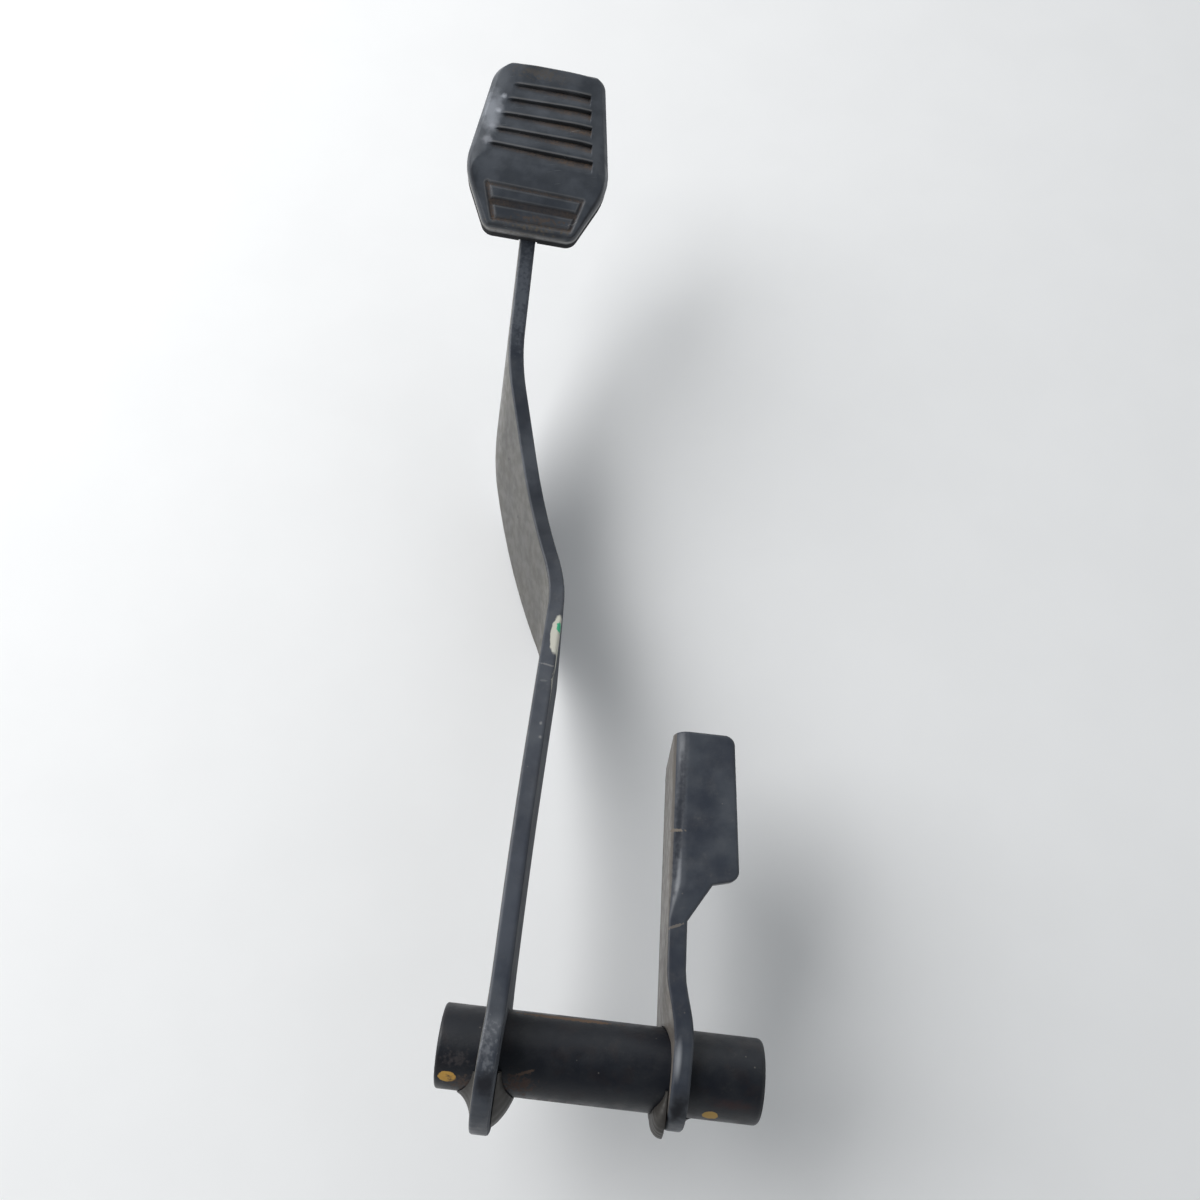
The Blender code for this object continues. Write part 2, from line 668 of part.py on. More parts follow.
def louvre_line(index):
    """Left and right ends (w, l) of a louvre; the lower louvres are longer and dip to the right."""
    share = index / (LOUVRE_COUNT - 1)
    l = LOUVRE_TOP_L - LOUVRE_PITCH * index
    left = -PAD_TOP_HALF * (0.594 + 0.337 * share)
    right = PAD_TOP_HALF * (0.842 + 0.158 * share)
    return Vector((left, l)), Vector((right, l - LOUVRE_PITCH * 0.36 * share ** 2))


def louvre_cutter(index):
    """A wedge: deep under the band's lower edge, running out to nothing before the next band."""
    left, right = louvre_line(index)
    lid = RUBBER_SIDE_HEIGHT + RUBBER_CROWN + LOUVRE_DEPTH
    reach = LOUVRE_PITCH * 0.80
    sections = []
    for share, fade in ((0.0, 0.15), (0.02, 0.50), (0.06, 0.80), (0.13, 1.0), (0.5, 1.0), (0.85, 1.0),
                        (0.98, 0.95), (1.0, 0.6)):
        place = left.lerp(right, share)
        step_l = place.y - reach * 0.35 * (1.0 - fade)
        run_out = place.y - reach
        floor = tread_height(place.x, step_l) - LOUVRE_DEPTH * fade
        ramp_end = tread_height(place.x, run_out) + LOUVRE_DEPTH * 0.1
        sections.append([(place.x, step_l, floor), (place.x, run_out, ramp_end), (place.x, run_out, lid),
                         (place.x, step_l, lid)])
    return object_from("louvre_%d" % (index + 1), loft(sections), cutter_material())


def frame_half(l):
    """Half width of the frame at l, measured to the middle of its groove."""
    share = (FRAME_TOP_L - l) / (FRAME_TOP_L - FRAME_BOTTOM_L)
    return FRAME_TOP_HALF + (FRAME_BOTTOM_HALF - FRAME_TOP_HALF) * share


def groove_section(w, l, out_w, out_l, width):
    """A groove's section at (w, l); (out_w, out_l) points to its outer wall."""
    lid = RUBBER_SIDE_HEIGHT + RUBBER_CROWN + GROOVE_DEPTH
    floor = tread_height(w, l) - GROOVE_DEPTH
    half = width / 2
    return [(w - out_w * half, l - out_l * half, floor), (w + out_w * half, l + out_l * half, floor),
            (w + out_w * half * 1.5, l + out_l * half * 1.5, lid),
            (w - out_w * half * 1.5, l - out_l * half * 1.5, lid)]


def frame_rows():
    """The frame's top, middle and bottom lines as (l, dip to the right, way to the outer wall)."""
    middle = (FRAME_TOP_L + FRAME_BOTTOM_L) / 2
    middle_dip = (FRAME_TOP_DIP + FRAME_BOTTOM_DIP) / 2
    return [(FRAME_TOP_L, FRAME_TOP_DIP, 1.0), (middle, middle_dip, 0.0),
            (FRAME_BOTTOM_L, FRAME_BOTTOM_DIP, -1.0)]


def frame_cutters():
    """One groove round the two bars below the waist and a wider one between them."""
    rows = frame_rows()
    right = [groove_section(PAD_SIDE_SHIFT + frame_half(l), l - dip, 1.0, out, GROOVE_WIDTH)
             for l, dip, out in rows]
    left = [groove_section(PAD_SIDE_SHIFT - frame_half(l), l + dip, -1.0, out, GROOVE_WIDTH)
            for l, dip, out in reversed(rows)]
    ring = object_from("frame_ring", loft(right + left, closed_ring=True), cutter_material())
    middle, dip, _ = rows[1]
    reach = frame_half(middle)
    ends = [groove_section(PAD_SIDE_SHIFT + side * reach, middle - dip * side, 0.0, 1.0, MIDDLE_GROOVE_WIDTH)
            for side in (-1, -0.5, 0.5, 1)]
    return [ring, object_from("frame_bar", loft(ends), cutter_material())]


def build_plate(steel, seat):
    outline = [(p.x, p.y, plate_low()) for p in pad_outline(plate_inset())]
    bm = prism(outline, (0, 0, PLATE_THICKNESS))
    plate = object_from("pad_plate", bm, steel)
    plate.parent = seat
    return plate


# Weld beads

def bead_section(leg, belly):
    """A fillet bead's section as (along, out); belly below 0.5 makes it hollow."""
    middle = leg * belly
    return [(0.0, 0.0), (leg, 0.0), (leg * 0.92, leg * 0.13), (middle, middle),
            (leg * 0.13, leg * 0.92), (0.0, leg)]


def arm_face(side):
    """The arm's left or right face near the tube, as x at (y, z)."""
    return lambda y, z: ARM_LEFT_X + ARM_THICKNESS * (side > 0) + foot_shift(y)


def lever_face(side):
    """The lever's left or right face near the tube, as x at (y, z)."""
    return lambda y, z: lever_left_x(y, z) + LEVER_THICKNESS * (side > 0)


def build_tube_weld(name, face_x, side, bead, steel):
    """A bead in the corner between tube and plate, round the tube from +Y toward +Z."""
    stations = 36
    quarter = math.pi / 2
    first = TUBE_RADIUS + SEAT_GAP
    sections = []
    for i in range(stations + 1):
        share = i / stations
        angle = quarter * (bead["start_quarters"] + (bead["end_quarters"] - bead["start_quarters"]) * share)
        grown = 0.18 + 0.82 * ease(share, 0.0, 0.38) * (1.0 - 0.6 * ease(share, 0.92, 1.0))
        size = bead["leg"] * grown * (1.0 + BEAD_RIPPLE * math.sin(share * math.tau * 9.5))
        ring = []
        for along, out in bead_section(size, bead["belly_share"]):
            reach = first + out * bead["out_share"]
            y, z = reach * math.cos(angle), reach * math.sin(angle)
            ring.append((face_x(y, z) + side * (SEAT_GAP + along), y, z))
        sections.append(ring)
    return object_from(name, loft(sections), steel)


def build_pad_weld(name, side, steel, seat):
    """A straight bead between the plate's back and the arm's side."""
    stations = 14
    start = PAD_BOTTOM_L + RUBBER_WALL + RUBBER_LIP_WIDTH * 2
    end = (ARM_END_Y - PAD_SEAT_Y) * 0.9
    clear = SEAT_GAP + ARM_THICKNESS / 2 * abs(math.tan(PAD_ROLL))
    sections = []
    for i in range(stations + 1):
        share = i / stations
        size = PAD_WELD_LEG * (0.5 + 0.5 * ease(share, 0.0, 0.15) * ease(1.0 - share, 0.0, 0.15))
        size *= 1.0 + BEAD_RIPPLE * math.sin(share * math.tau * 5)
        ring = [(side * (ARM_THICKNESS / 2 + clear + along), start + (end - start) * share, -out)
                for along, out in bead_section(size, 0.55)]
        sections.append(ring)
    weld = object_from(name, loft(sections), steel)
    weld.parent = seat
    return weld


def build_pedal():
    clear_objects()
    painted = paint("painted_steel", (0.030, 0.036, 0.048), 0.45, 0.0)
    bare = paint("bare_steel", (0.42, 0.41, 0.39), 0.38, 1.0)
    weld = paint("painted_weld", (0.045, 0.040, 0.036), 0.60, 0.0)
    rubber = paint("black_rubber", (0.030, 0.034, 0.040), 0.62, 0.0)
    nylon = paint("nylon", (0.62, 0.60, 0.54), 0.50, 0.0)
    build_tube(painted)
    build_bush("pivot_bush_left", -1, nylon)
    build_bush("pivot_bush_right", 1, nylon)
    build_sleeve(bare)
    build_arm(painted)
    build_lever(painted)
    seat = seat_empty()
    build_plate(painted, seat)
    build_rubber(rubber, seat)
    build_tube_weld("arm_weld_left", arm_face(-1), -1, ARM_WELD_LEFT, weld)
    build_tube_weld("arm_weld_right", arm_face(1), 1, ARM_WELD_RIGHT, weld)
    build_tube_weld("lever_weld_left", lever_face(-1), -1, LEVER_WELD_LEFT, weld)
    build_tube_weld("lever_weld_right", lever_face(1), 1, LEVER_WELD_RIGHT, weld)
    build_pad_weld("pad_weld_left", -1, weld, seat)
    build_pad_weld("pad_weld_right", 1, weld, seat)


build_pedal()
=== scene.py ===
import logging
import math
from dataclasses import dataclass
from enum import Enum
from typing import Iterable

import bpy
from mathutils import Matrix, Vector


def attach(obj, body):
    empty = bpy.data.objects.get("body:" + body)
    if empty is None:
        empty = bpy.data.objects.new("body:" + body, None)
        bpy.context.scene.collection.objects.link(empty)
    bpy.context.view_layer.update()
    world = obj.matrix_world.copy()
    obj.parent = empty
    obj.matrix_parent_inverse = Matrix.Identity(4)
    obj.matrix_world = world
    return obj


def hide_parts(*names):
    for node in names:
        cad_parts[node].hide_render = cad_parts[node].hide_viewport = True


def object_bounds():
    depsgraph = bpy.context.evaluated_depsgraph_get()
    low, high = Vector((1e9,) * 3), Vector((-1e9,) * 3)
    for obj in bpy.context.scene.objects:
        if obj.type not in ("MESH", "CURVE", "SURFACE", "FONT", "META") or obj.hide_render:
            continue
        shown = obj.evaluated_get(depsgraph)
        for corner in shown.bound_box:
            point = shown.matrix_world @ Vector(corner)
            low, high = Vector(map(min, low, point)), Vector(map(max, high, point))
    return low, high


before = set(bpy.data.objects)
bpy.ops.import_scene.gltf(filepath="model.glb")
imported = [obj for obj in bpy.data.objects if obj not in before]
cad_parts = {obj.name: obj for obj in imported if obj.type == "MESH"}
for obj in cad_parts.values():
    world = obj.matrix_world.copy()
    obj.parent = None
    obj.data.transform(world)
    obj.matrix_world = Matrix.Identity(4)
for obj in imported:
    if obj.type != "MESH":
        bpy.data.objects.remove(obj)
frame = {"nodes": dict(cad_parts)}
CAD_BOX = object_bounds()

LOG = logging.getLogger("pedal")
MM = 0.001

Triple = tuple[float, float, float]
Span = tuple[float, float]
Socket = bpy.types.NodeSocket
# Noise cut to patches, as Graph.patches takes it: size in mm, detail, shift in mm, step low and high, and
# what the step starts and ends with where that isn't 0 and 1.
Patches = tuple[float, ...]

UNTURNED = (0.0, 0.0, 0.0)
LEFT, RIGHT, DRIVER = (-1.0, 0.0, 0.0), (1.0, 0.0, 0.0), (0.0, 0.0, 1.0)
# The cover's point layers: dust in recesses, wear on edges, and black grime with painted shade.
WEAR_AND_SHADE = ("recess", "edge", "grime_and_shade")
# The grain of a speckled mark, the step in a cell's random number that gives it a speck, and the step in how
# squarely a face looks at the driver that shows a mark of the front.
SPECKLE_MM = 1.3
SPECK_DRAW = (0.72, 0.76)
FRONT_STEP = (0.30, 0.62)

# The pad's seat: its across, along and height axes as columns, then its origin, in metres.
SEAT_ROWS = (
    (0.994979, -0.005037, 0.099956, -0.061148),
    (0.032144, 0.961863, -0.271635, 0.31563),
    (-0.09478, 0.273486, 0.957195, 0.0251),
    (0.0, 0.0, 0.0, 1.0),
)


class MarkEdge(Enum):
    """How the rim of a mark looks: (share of its size that fades, how far noise moves it)."""

    SOFT = (0.9, 0.25)
    RAGGED = (0.25, 0.45)
    CRISP = (0.12, 0.08)
    SPECKLED = (0.95, 0.85)
    GLINT = (0.95, 0.02)


@dataclass(frozen=True)
class Mark:
    """A patch of another colour on a finish: an ellipsoid round a place on the object, in mm."""

    place: Triple
    reach: Triple
    colour: Triple
    edge: MarkEdge = MarkEdge.RAGGED
    strength: float = 1.0
    roughness: float = 0.6
    turn: Triple = UNTURNED
    front: bool = False


class Nodes:
    """A node tree, with short methods that add and wire its nodes."""

    def __init__(self, tree: bpy.types.NodeTree) -> None:
        """Take over a tree."""
        self.tree = tree

    def feed(self, socket: Socket, value: object) -> None:
        """Link a socket to another one, or set its value.

        Args:
            socket: The input to feed.
            value: An output socket, a number, a vector or a colour.
        """
        if isinstance(value, bpy.types.NodeSocket):
            self.tree.links.new(value, socket)
        else:
            socket.default_value = (*value, 1.0) if socket.type == "RGBA" else value

    def add(self, kind: str, inputs: dict[str | int, object], output: str | int = 0,
            **settings: object) -> Socket:
        """Add a node and feed it.

        Args:
            kind: The node's type name.
            inputs: What its inputs get, by their names or places.
            output: The name or place of the output that is wanted.
            settings: The node's own settings by name.

        Returns:
            That output's socket.
        """
        node = self.tree.nodes.new(kind)
        for key, value in settings.items():
            setattr(node, key, value)
        for key, value in inputs.items():
            self.feed(node.inputs[key], value)
        return node.outputs[output]

    def math(self, operation: str, first: object, second: object) -> Socket:
        """Combine two numbers by a Math node's operation."""
        return self.add("ShaderNodeMath", {0: first, 1: second}, operation=operation)

    def times(self, first: object, second: object) -> Socket:
        """Multiply two numbers."""
        return self.math("MULTIPLY", first, second)

    def dot(self, first: object, second: object) -> Socket:
        """The dot product of two vectors."""
        return self.add("ShaderNodeVectorMath", {0: first, 1: second}, "Value", operation="DOT_PRODUCT")

    def span(self, value: Socket, low: float, high: float, start: float = 0.0, end: float = 1.0) -> Socket:
        """Map a number from low..high to start..end with a smooth step, clamped at both ends.

        Args:
            value: The number's socket.
            low: Where the step starts. It may be above high.
            high: Where it ends.
            start: What it gives before the step.
            end: What it gives after it.

        Returns:
            The result's socket.
        """
        if low > high:
            low, high, start, end = high, low, end, start
        inputs = {"Value": value, "From Min": low, "From Max": high, "To Min": start, "To Max": end}
        return self.add("ShaderNodeMapRange", inputs, "Result", interpolation_type="SMOOTHSTEP")


class Graph(Nodes):
    """The nodes of a material with a Principled shader."""

    def __init__(self, name: str, shine: float = 0.5) -> None:
        """Start a material that reads object coordinates.

        Args:
            name: The material's name.
            shine: How much it mirrors, as the shader's specular level.
        """
        self.material = bpy.data.materials.new(name)
        self.material.use_nodes = True
        super().__init__(self.material.node_tree)
        self.shader = self.tree.nodes["Principled BSDF"]
        self.shader.inputs["Specular IOR Level"].default_value = shine
        self.coords = self.add("ShaderNodeTexCoord", {}, "Object")

    def placed(self, place: Triple, size: Triple, turn: Triple = UNTURNED) -> Socket:
        """Object coordinates from a place in metres, in units of a size, along turned axes."""
        inputs = {"Vector": self.coords, "Location": place, "Rotation": turn, "Scale": size}
        return self.add("ShaderNodeMapping", inputs, "Vector", vector_type="TEXTURE")

    def noise(self, size_mm: float, detail: float, stretch: Triple = (1.0, 1.0, 1.0),
              shift: float = 0.0, turn: Triple = UNTURNED) -> Socket:
        """Cloudy noise.

        Args:
            size_mm: The size of its clouds.
            detail: How many finer layers it has.
            stretch: How much longer it is along each axis.
            shift: Moves the pattern, in mm, so that two of one size differ.
            turn: The axes' Euler turn in radians.

        Returns:
            A socket from 0 to 1, mostly near 0.5.
        """
        size = tuple(size_mm * MM * part for part in stretch)
        coords = self.placed((shift * MM, shift * MM, 0.0), size, turn)
        return self.add("ShaderNodeTexNoise", {"Vector": coords, "Scale": 1.0, "Detail": detail}, "Fac")

    def patches(self, size_mm: float, detail: float, shift: float, *step: float) -> Socket:
        """A mask of noise patches: the noise's size, detail and shift, then its smooth step as in span."""
        return self.span(self.noise(size_mm, detail, shift=shift), *step)

    def specks(self, size_mm: float, cover: float) -> Socket:
        """Small round specks, set in a random share of cells.

        Args:
            size_mm: The cell size.
            cover: The share of a cell's width that a speck takes.

        Returns:
            A mask that is 1 in a speck.
        """
        cells = {"Vector": self.placed((0.0, 0.0, 0.0), (size_mm * MM,) * 3), "Scale": 1.0}
        distance = self.add("ShaderNodeTexVoronoi", cells, "Distance", feature="F1")
        draw = self.add("ShaderNodeSeparateColor", {0: distance.node.outputs["Color"]})
        return self.times(self.span(draw, *SPECK_DRAW), self.span(distance, cover, cover * 0.6))

    def tint(self, factor: Socket, first: object, second: object, share: float = 1.0) -> Socket:
        """Blend two colours.

        Args:
            factor: 0 gives the first colour and 1 the second.
            first: The first colour or socket.
            second: The second one.
            share: How much of the second one a factor of 1 gives.

        Returns:
            The colour's socket.
        """
        factor = factor if share == 1.0 else self.times(factor, share)
        return self.add("ShaderNodeMix", {0: factor, 6: first, 7: second}, 2, data_type="RGBA")

    def blend(self, factor: Socket, first: object, second: object) -> Socket:
        """Blend two numbers: a factor of 0 gives the first and 1 the second."""
        return self.add("ShaderNodeMix", {0: factor, 2: first, 3: second}, data_type="FLOAT")

    def facing(self, way: Triple, low: float, high: float) -> Socket:
        """Mask of the faces that look one way, by a smooth step in how square they are to it."""
        return self.span(self.dot(self.add("ShaderNodeTexCoord", {}, "Normal"), way), low, high)

    def attribute(self, name: str) -> Socket:
        """A number stored on the mesh's points."""
        return self.add("ShaderNodeAttribute", {}, "Fac", attribute_name=name)

    def rim(self, radius_mm: float) -> Socket:
        """How near an edge a point is.

        Args:
            radius_mm: How far from the edge it reaches.

        Returns:
            A socket that is 0 on flat faces and grows toward edges.
        """
        rounded = self.add("ShaderNodeBevel", {"Radius": radius_mm * MM}, samples=4)
        straight = self.add("ShaderNodeNewGeometry", {}, "True Normal")
        return self.math("SUBTRACT", 1.0, self.dot(rounded, straight))

    def mark(self, mark: Mark) -> Socket:
        """A mark's mask.

        Args:
            mark: The mark.

        Returns:
            A socket that is the mark's strength inside it and 0 outside.
        """
        fade, wander = mark.edge.value
        local = self.placed(tuple(Vector(mark.place) * MM), tuple(Vector(mark.reach) * MM), mark.turn)
        length = self.add("ShaderNodeVectorMath", {0: local}, "Value", operation="LENGTH")
        grain = SPECKLE_MM if mark.edge is MarkEdge.SPECKLED else min(mark.reach) * 0.55 + 0.5
        ragged = self.noise(grain, 3.0, shift=mark.place[0])
        distance = self.math("ADD", length, self.times(self.math("SUBTRACT", ragged, 0.5), wander * 4.0))
        mask = self.span(distance, 1.0, 1.0 - fade, 0.0, mark.strength)
        return self.times(mask, self.facing(DRIVER, *FRONT_STEP)) if mark.front else mask

    def mark_all(self, marks: Iterable[Mark], colour: Socket, roughness: Socket) -> tuple[Socket, Socket]:
        """Lay marks over a finish.

        Args:
            marks: The marks, the lowest first.
            colour: The finish's colour.
            roughness: Its roughness.

        Returns:
            The colour and the roughness with the marks on them.
        """
        for mark in marks:
            mask = self.mark(mark)
            colour = self.tint(mask, colour, mark.colour)
            roughness = self.blend(mask, roughness, mark.roughness)
        return colour, roughness

    def bump(self, layers: Iterable[tuple[Socket, float]], round_mm: float = 0.0) -> None:
        """Stack bump layers into the shader's normal.

        Args:
            layers: Pairs of a height socket and its depth in mm.
            round_mm: How far hard edges look rounded off.
        """
        under = {}
        if round_mm:
            under = {"Normal": self.add("ShaderNodeBevel", {"Radius": round_mm * MM}, samples=8)}
        for height, depth_mm in layers:
            inputs = {"Strength": 1.0, "Distance": depth_mm * MM, "Height": height, **under}
            under = {"Normal": self.add("ShaderNodeBump", inputs, "Normal")}
        self.feed(self.shader.inputs["Normal"], under["Normal"])

    def finish(self, colour: Socket, roughness: object, metallic: object = 0.0) -> bpy.types.Material:
        """Wire the shader's main inputs.

        Args:
            colour: The base colour.
            roughness: The roughness.
            metallic: 0 for paint and plastic, 1 for bare metal.

        Returns:
            The finished material.
        """
        for name, value in (("Base Color", colour), ("Roughness", roughness), ("Metallic", metallic)):
            self.feed(self.shader.inputs[name], value)
        return self.material


@dataclass(frozen=True)
class PaintFinish:
    """Dark blue-grey paint on steel: dust, scratches, worn edges, marks, and dust with painted light on left
    faces.
    """

    name: str
    colour: Triple = (0.030, 0.036, 0.050)
    worn: Triple = (0.060, 0.068, 0.082)
    dust: Triple = (0.30, 0.275, 0.235)
    rust: Triple = (0.120, 0.060, 0.030)
    left_dust_and_light: Triple = (0.096, 0.088, 0.072)
    bare: Triple = (0.34, 0.34, 0.34)
    dust_share: float = 0.10
    rust_share: float = 0.0
    speck_share: float = 0.22
    edge_share: float = 0.12
    left_dust_and_light_share: float = 0.85
    right_rough: float = 0.78
    gloss_low: float = 0.30
    gloss_high: float = 0.48
    clouds: Patches = (14.0, 5.0, 0.0, 0.35, 0.68)
    film: Patches = (6.0, 6.0, 31.0, 0.42, 0.75)
    grain: Patches = (1.1, 3.0, 7.0, 0.50, 0.72, 0.35)
    stains: Patches = (5.0, 6.0, 53.0, 0.50, 0.66)
    left_dust_and_light_patches: Patches = (9.0, 3.0, 61.0, 0.3, 0.7, 0.82)
    chips: Patches = (3.0, 5.0, 11.0, 0.40, 0.62, 0.15)
    sheen: Patches = (4.0, 4.0, 3.0, 0.3, 0.7)
    left_step: Span = (0.72, 0.94)
    right_step: Span = (0.5, 0.9)
    rim_mm: float = 0.7
    rim_step: Span = (0.03, 0.22)
    speck_mm: float = 3.4
    speck_cover: float = 0.10
    texture: float = 0.035
    waves: float = 0.05
    round_mm: float = 1.2
    shine: float = 0.5
    marks: tuple[Mark, ...] = ()

    def build(self) -> bpy.types.Material:
        """Build the material.

        Returns:
            The material.
        """
        graph = Graph(self.name, self.shine)
        colour = graph.tint(graph.patches(*self.clouds), self.colour, self.worn)
        dusty = graph.times(graph.patches(*self.film), graph.patches(*self.grain))
        colour = graph.tint(dusty, colour, self.dust, self.dust_share)
        if self.rust_share:
            colour = graph.tint(graph.patches(*self.stains), colour, self.rust, self.rust_share)
        # Faces that look left, toward the key lamp, get a pale tan film: dust and painted light.
        left = graph.times(graph.facing(LEFT, *self.left_step), graph.patches(*self.left_dust_and_light_patches))
        colour = graph.tint(left, colour, self.left_dust_and_light, self.left_dust_and_light_share)
        specks = graph.specks(self.speck_mm, self.speck_cover)
        colour = graph.tint(specks, colour, self.dust, self.speck_share)
        edge = graph.times(graph.span(graph.rim(self.rim_mm), *self.rim_step), graph.patches(*self.chips))
        colour = graph.tint(edge, colour, self.bare, self.edge_share)
        roughness = graph.patches(*self.sheen, self.gloss_low, self.gloss_high)
        roughness = graph.blend(graph.facing(RIGHT, *self.right_step), roughness, self.right_rough)
        colour, roughness = graph.mark_all(self.marks, colour, roughness)
        fine, wavy = graph.noise(0.7, 2.0, shift=17.0), graph.noise(6.5, 2.0, shift=23.0)
        graph.bump([(fine, self.texture), (wavy, self.waves)], self.round_mm)
        return graph.finish(colour, roughness)


@dataclass(frozen=True)
class RubberFinish:
    """Worn moulded rubber: grey-black, dusty in its recesses, darkened with grime and painted shade.

    Its left flank is polished, and marks paint highlights on it.
    """

    name: str = "black_rubber"
    colour: Triple = (0.041, 0.047, 0.057)
    worn: Triple = (0.069, 0.077, 0.091)
    dust: Triple = (0.125, 0.086, 0.060)
    grime_and_shade: Triple = (0.010, 0.009, 0.009)
    edge: Triple = (0.27, 0.26, 0.245)
    scratch: Triple = (0.13, 0.14, 0.15)
    grime_and_shade_share: float = 0.85
    edge_share: float = 0.7
    scratch_share: float = 0.35
    dust_rough: float = 0.9
    grime_and_shade_rough: float = 0.95
    clouds: Patches = (9.0, 5.0, 0.0, 0.35, 0.7)
    crumbs: Patches = (0.9, 4.0, 5.0, 0.30, 0.70, 0.35)
    cakes: Patches = (6.0, 3.0, 13.0, 0.32, 0.62, 0.35)
    sheen: Patches = (5.0, 4.0, 9.0, 0.3, 0.7, 0.34, 0.52)
    scratch_stretch: Triple = (7.0, 0.5, 1.0)
    scratch_turn: Triple = (0.0, 0.0, 0.25)
    scratch_step: Span = (0.68, 0.74)
    grain: float = 0.04
    waves: float = 0.06
    shine: float = 0.28
    marks: tuple[Mark, ...] = ()

    def build(self) -> bpy.types.Material:
        """Build the material.

        Returns:
            The material.
        """
        graph = Graph(self.name, self.shine)
        colour = graph.tint(graph.patches(*self.clouds), self.colour, self.worn)
        # Black grime and painted shade from the cover's mesh: under the louvres' steps, in the middle groove,
        # inside the lower outline and on the walls.
        grime_and_shade = graph.attribute("grime_and_shade")
        colour = graph.tint(grime_and_shade, colour, self.grime_and_shade, self.grime_and_shade_share)
        caked = graph.times(graph.patches(*self.crumbs), graph.patches(*self.cakes))
        dusty = graph.times(graph.attribute("recess"), caked)
        colour = graph.tint(dusty, colour, self.dust)
        colour = graph.tint(graph.attribute("edge"), colour, self.edge, self.edge_share)
        lines = graph.noise(1.2, 2.0, self.scratch_stretch, 3.0, self.scratch_turn)
        scratch = graph.span(lines, *self.scratch_step)
        colour = graph.tint(scratch, colour, self.scratch, self.scratch_share)
        roughness = graph.blend(dusty, graph.patches(*self.sheen), self.dust_rough)
        colour, roughness = graph.mark_all(self.marks, colour, roughness)
        roughness = graph.blend(grime_and_shade, roughness, self.grime_and_shade_rough)
        fine, wavy = graph.noise(0.45, 2.0, shift=29.0), graph.noise(3.0, 3.0, shift=37.0)
        graph.bump([(fine, self.grain), (wavy, self.waves)])
        return graph.finish(colour, roughness)


@dataclass(frozen=True)
class TurnedSteelFinish:
    """Bare turned steel, greased and stained."""

    name: str = "bare_steel"
    colour: Triple = (0.36, 0.35, 0.33)
    turned: Triple = (0.24, 0.23, 0.22)
    stain: Triple = (0.14, 0.105, 0.07)
    turned_share: float = 0.5
    stain_share: float = 0.75
    stains: Patches = (3.5, 5.0, 4.0, 0.45, 0.68)
    sheen: Span = (0.30, 0.62)
    metal: Span = (1.0, 0.35)

    def build(self) -> bpy.types.Material:
        """Build the material.

        Returns:
            The material.
        """
        graph = Graph(self.name)
        rings = graph.noise(0.35, 2.0, (0.35, 30.0, 30.0))
        stain = graph.patches(*self.stains)
        colour = graph.tint(graph.span(rings, 0.3, 0.7), self.colour, self.turned, self.turned_share)
        colour = graph.tint(stain, colour, self.stain, self.stain_share)
        graph.bump([(rings, 0.02), (graph.noise(1.4, 3.0, shift=6.0), 0.03)])
        roughness = graph.span(stain, 0.0, 1.0, *self.sheen)
        return graph.finish(colour, roughness, graph.span(stain, 0.0, 1.0, *self.metal))


@dataclass(frozen=True)
class NylonFinish:
    """Moulded nylon with a film of old grease."""

    name: str = "nylon"
    colour: Triple = (0.56, 0.53, 0.45)
    grease: Triple = (0.10, 0.085, 0.06)
    film: Patches = (2.6, 5.0, 0.0, 0.40, 0.66, 0.1, 0.85)
    sheen: Span = (0.55, 0.30)

    def build(self) -> bpy.types.Material:
        """Build the material.

        Returns:
            The material.
        """
        graph = Graph(self.name)
        film = graph.patches(*self.film)
        colour = graph.tint(film, self.colour, self.grease)
        graph.bump([(graph.noise(0.8, 2.0, shift=8.0), 0.03)])
        return graph.finish(colour, graph.span(film, *self.film[-2:], *self.sheen))


@dataclass(frozen=True)
class FloorFinish:
    """A plain pale studio sheet."""

    name: str = "studio_sheet"
    colour: Triple = (0.93, 0.93, 0.93)
    shade: float = 0.985
    clouds: Patches = (40.0, 3.0, 0.0, 0.3, 0.7)
    roughness: float = 0.9

    def build(self) -> bpy.types.Material:
        """Build the material.

        Returns:
            The material.
        """
        graph = Graph(self.name)
        shaded = tuple(part * self.shade for part in self.colour)
        paper = graph.tint(graph.patches(*self.clouds), self.colour, shaded)
        return graph.finish(paper, self.roughness)


def deselect() -> None:
    """Leave edit mode and deselect everything."""
    if bpy.context.object and bpy.context.object.mode != "OBJECT":
        bpy.ops.object.mode_set(mode="OBJECT")
    bpy.ops.object.select_all(action="DESELECT")


def edit_all() -> None:
    """Enter edit mode with everything selected."""
    bpy.ops.object.mode_set(mode="EDIT")
    bpy.ops.mesh.select_all(action="SELECT")


def face_outward() -> None:
    """Turn every face outward and leave edit mode."""
    bpy.ops.mesh.select_all(action="SELECT")
    bpy.ops.mesh.normals_make_consistent(inside=False)
    bpy.ops.object.mode_set(mode="OBJECT")


def dress(piece: bpy.types.Object, material: bpy.types.Material) -> None:
    """Give a piece one material.

    Args:
        piece: The mesh object.
        material: Its finish.
    """
    piece.data.materials.clear()
    piece.data.materials.append(material)
    for polygon in piece.data.polygons:
        polygon.material_index = 0


def smooth(value: float, low: float, high: float) -> float:
    """A smooth step from 0 at low to 1 at high."""
    share = min(1.0, max(0.0, (value - low) / (high - low)))
    return share * share * (3.0 - 2.0 * share)


def mix(ends: Span, share: float) -> float:
    """A number between two ends."""
    return ends[0] + (ends[1] - ends[0]) * share


def bell(value: float, centre: float, width: float) -> float:
    """1 at a centre, falling off to both sides as a bell curve."""
    return math.exp(-((value - centre) / width) ** 2)


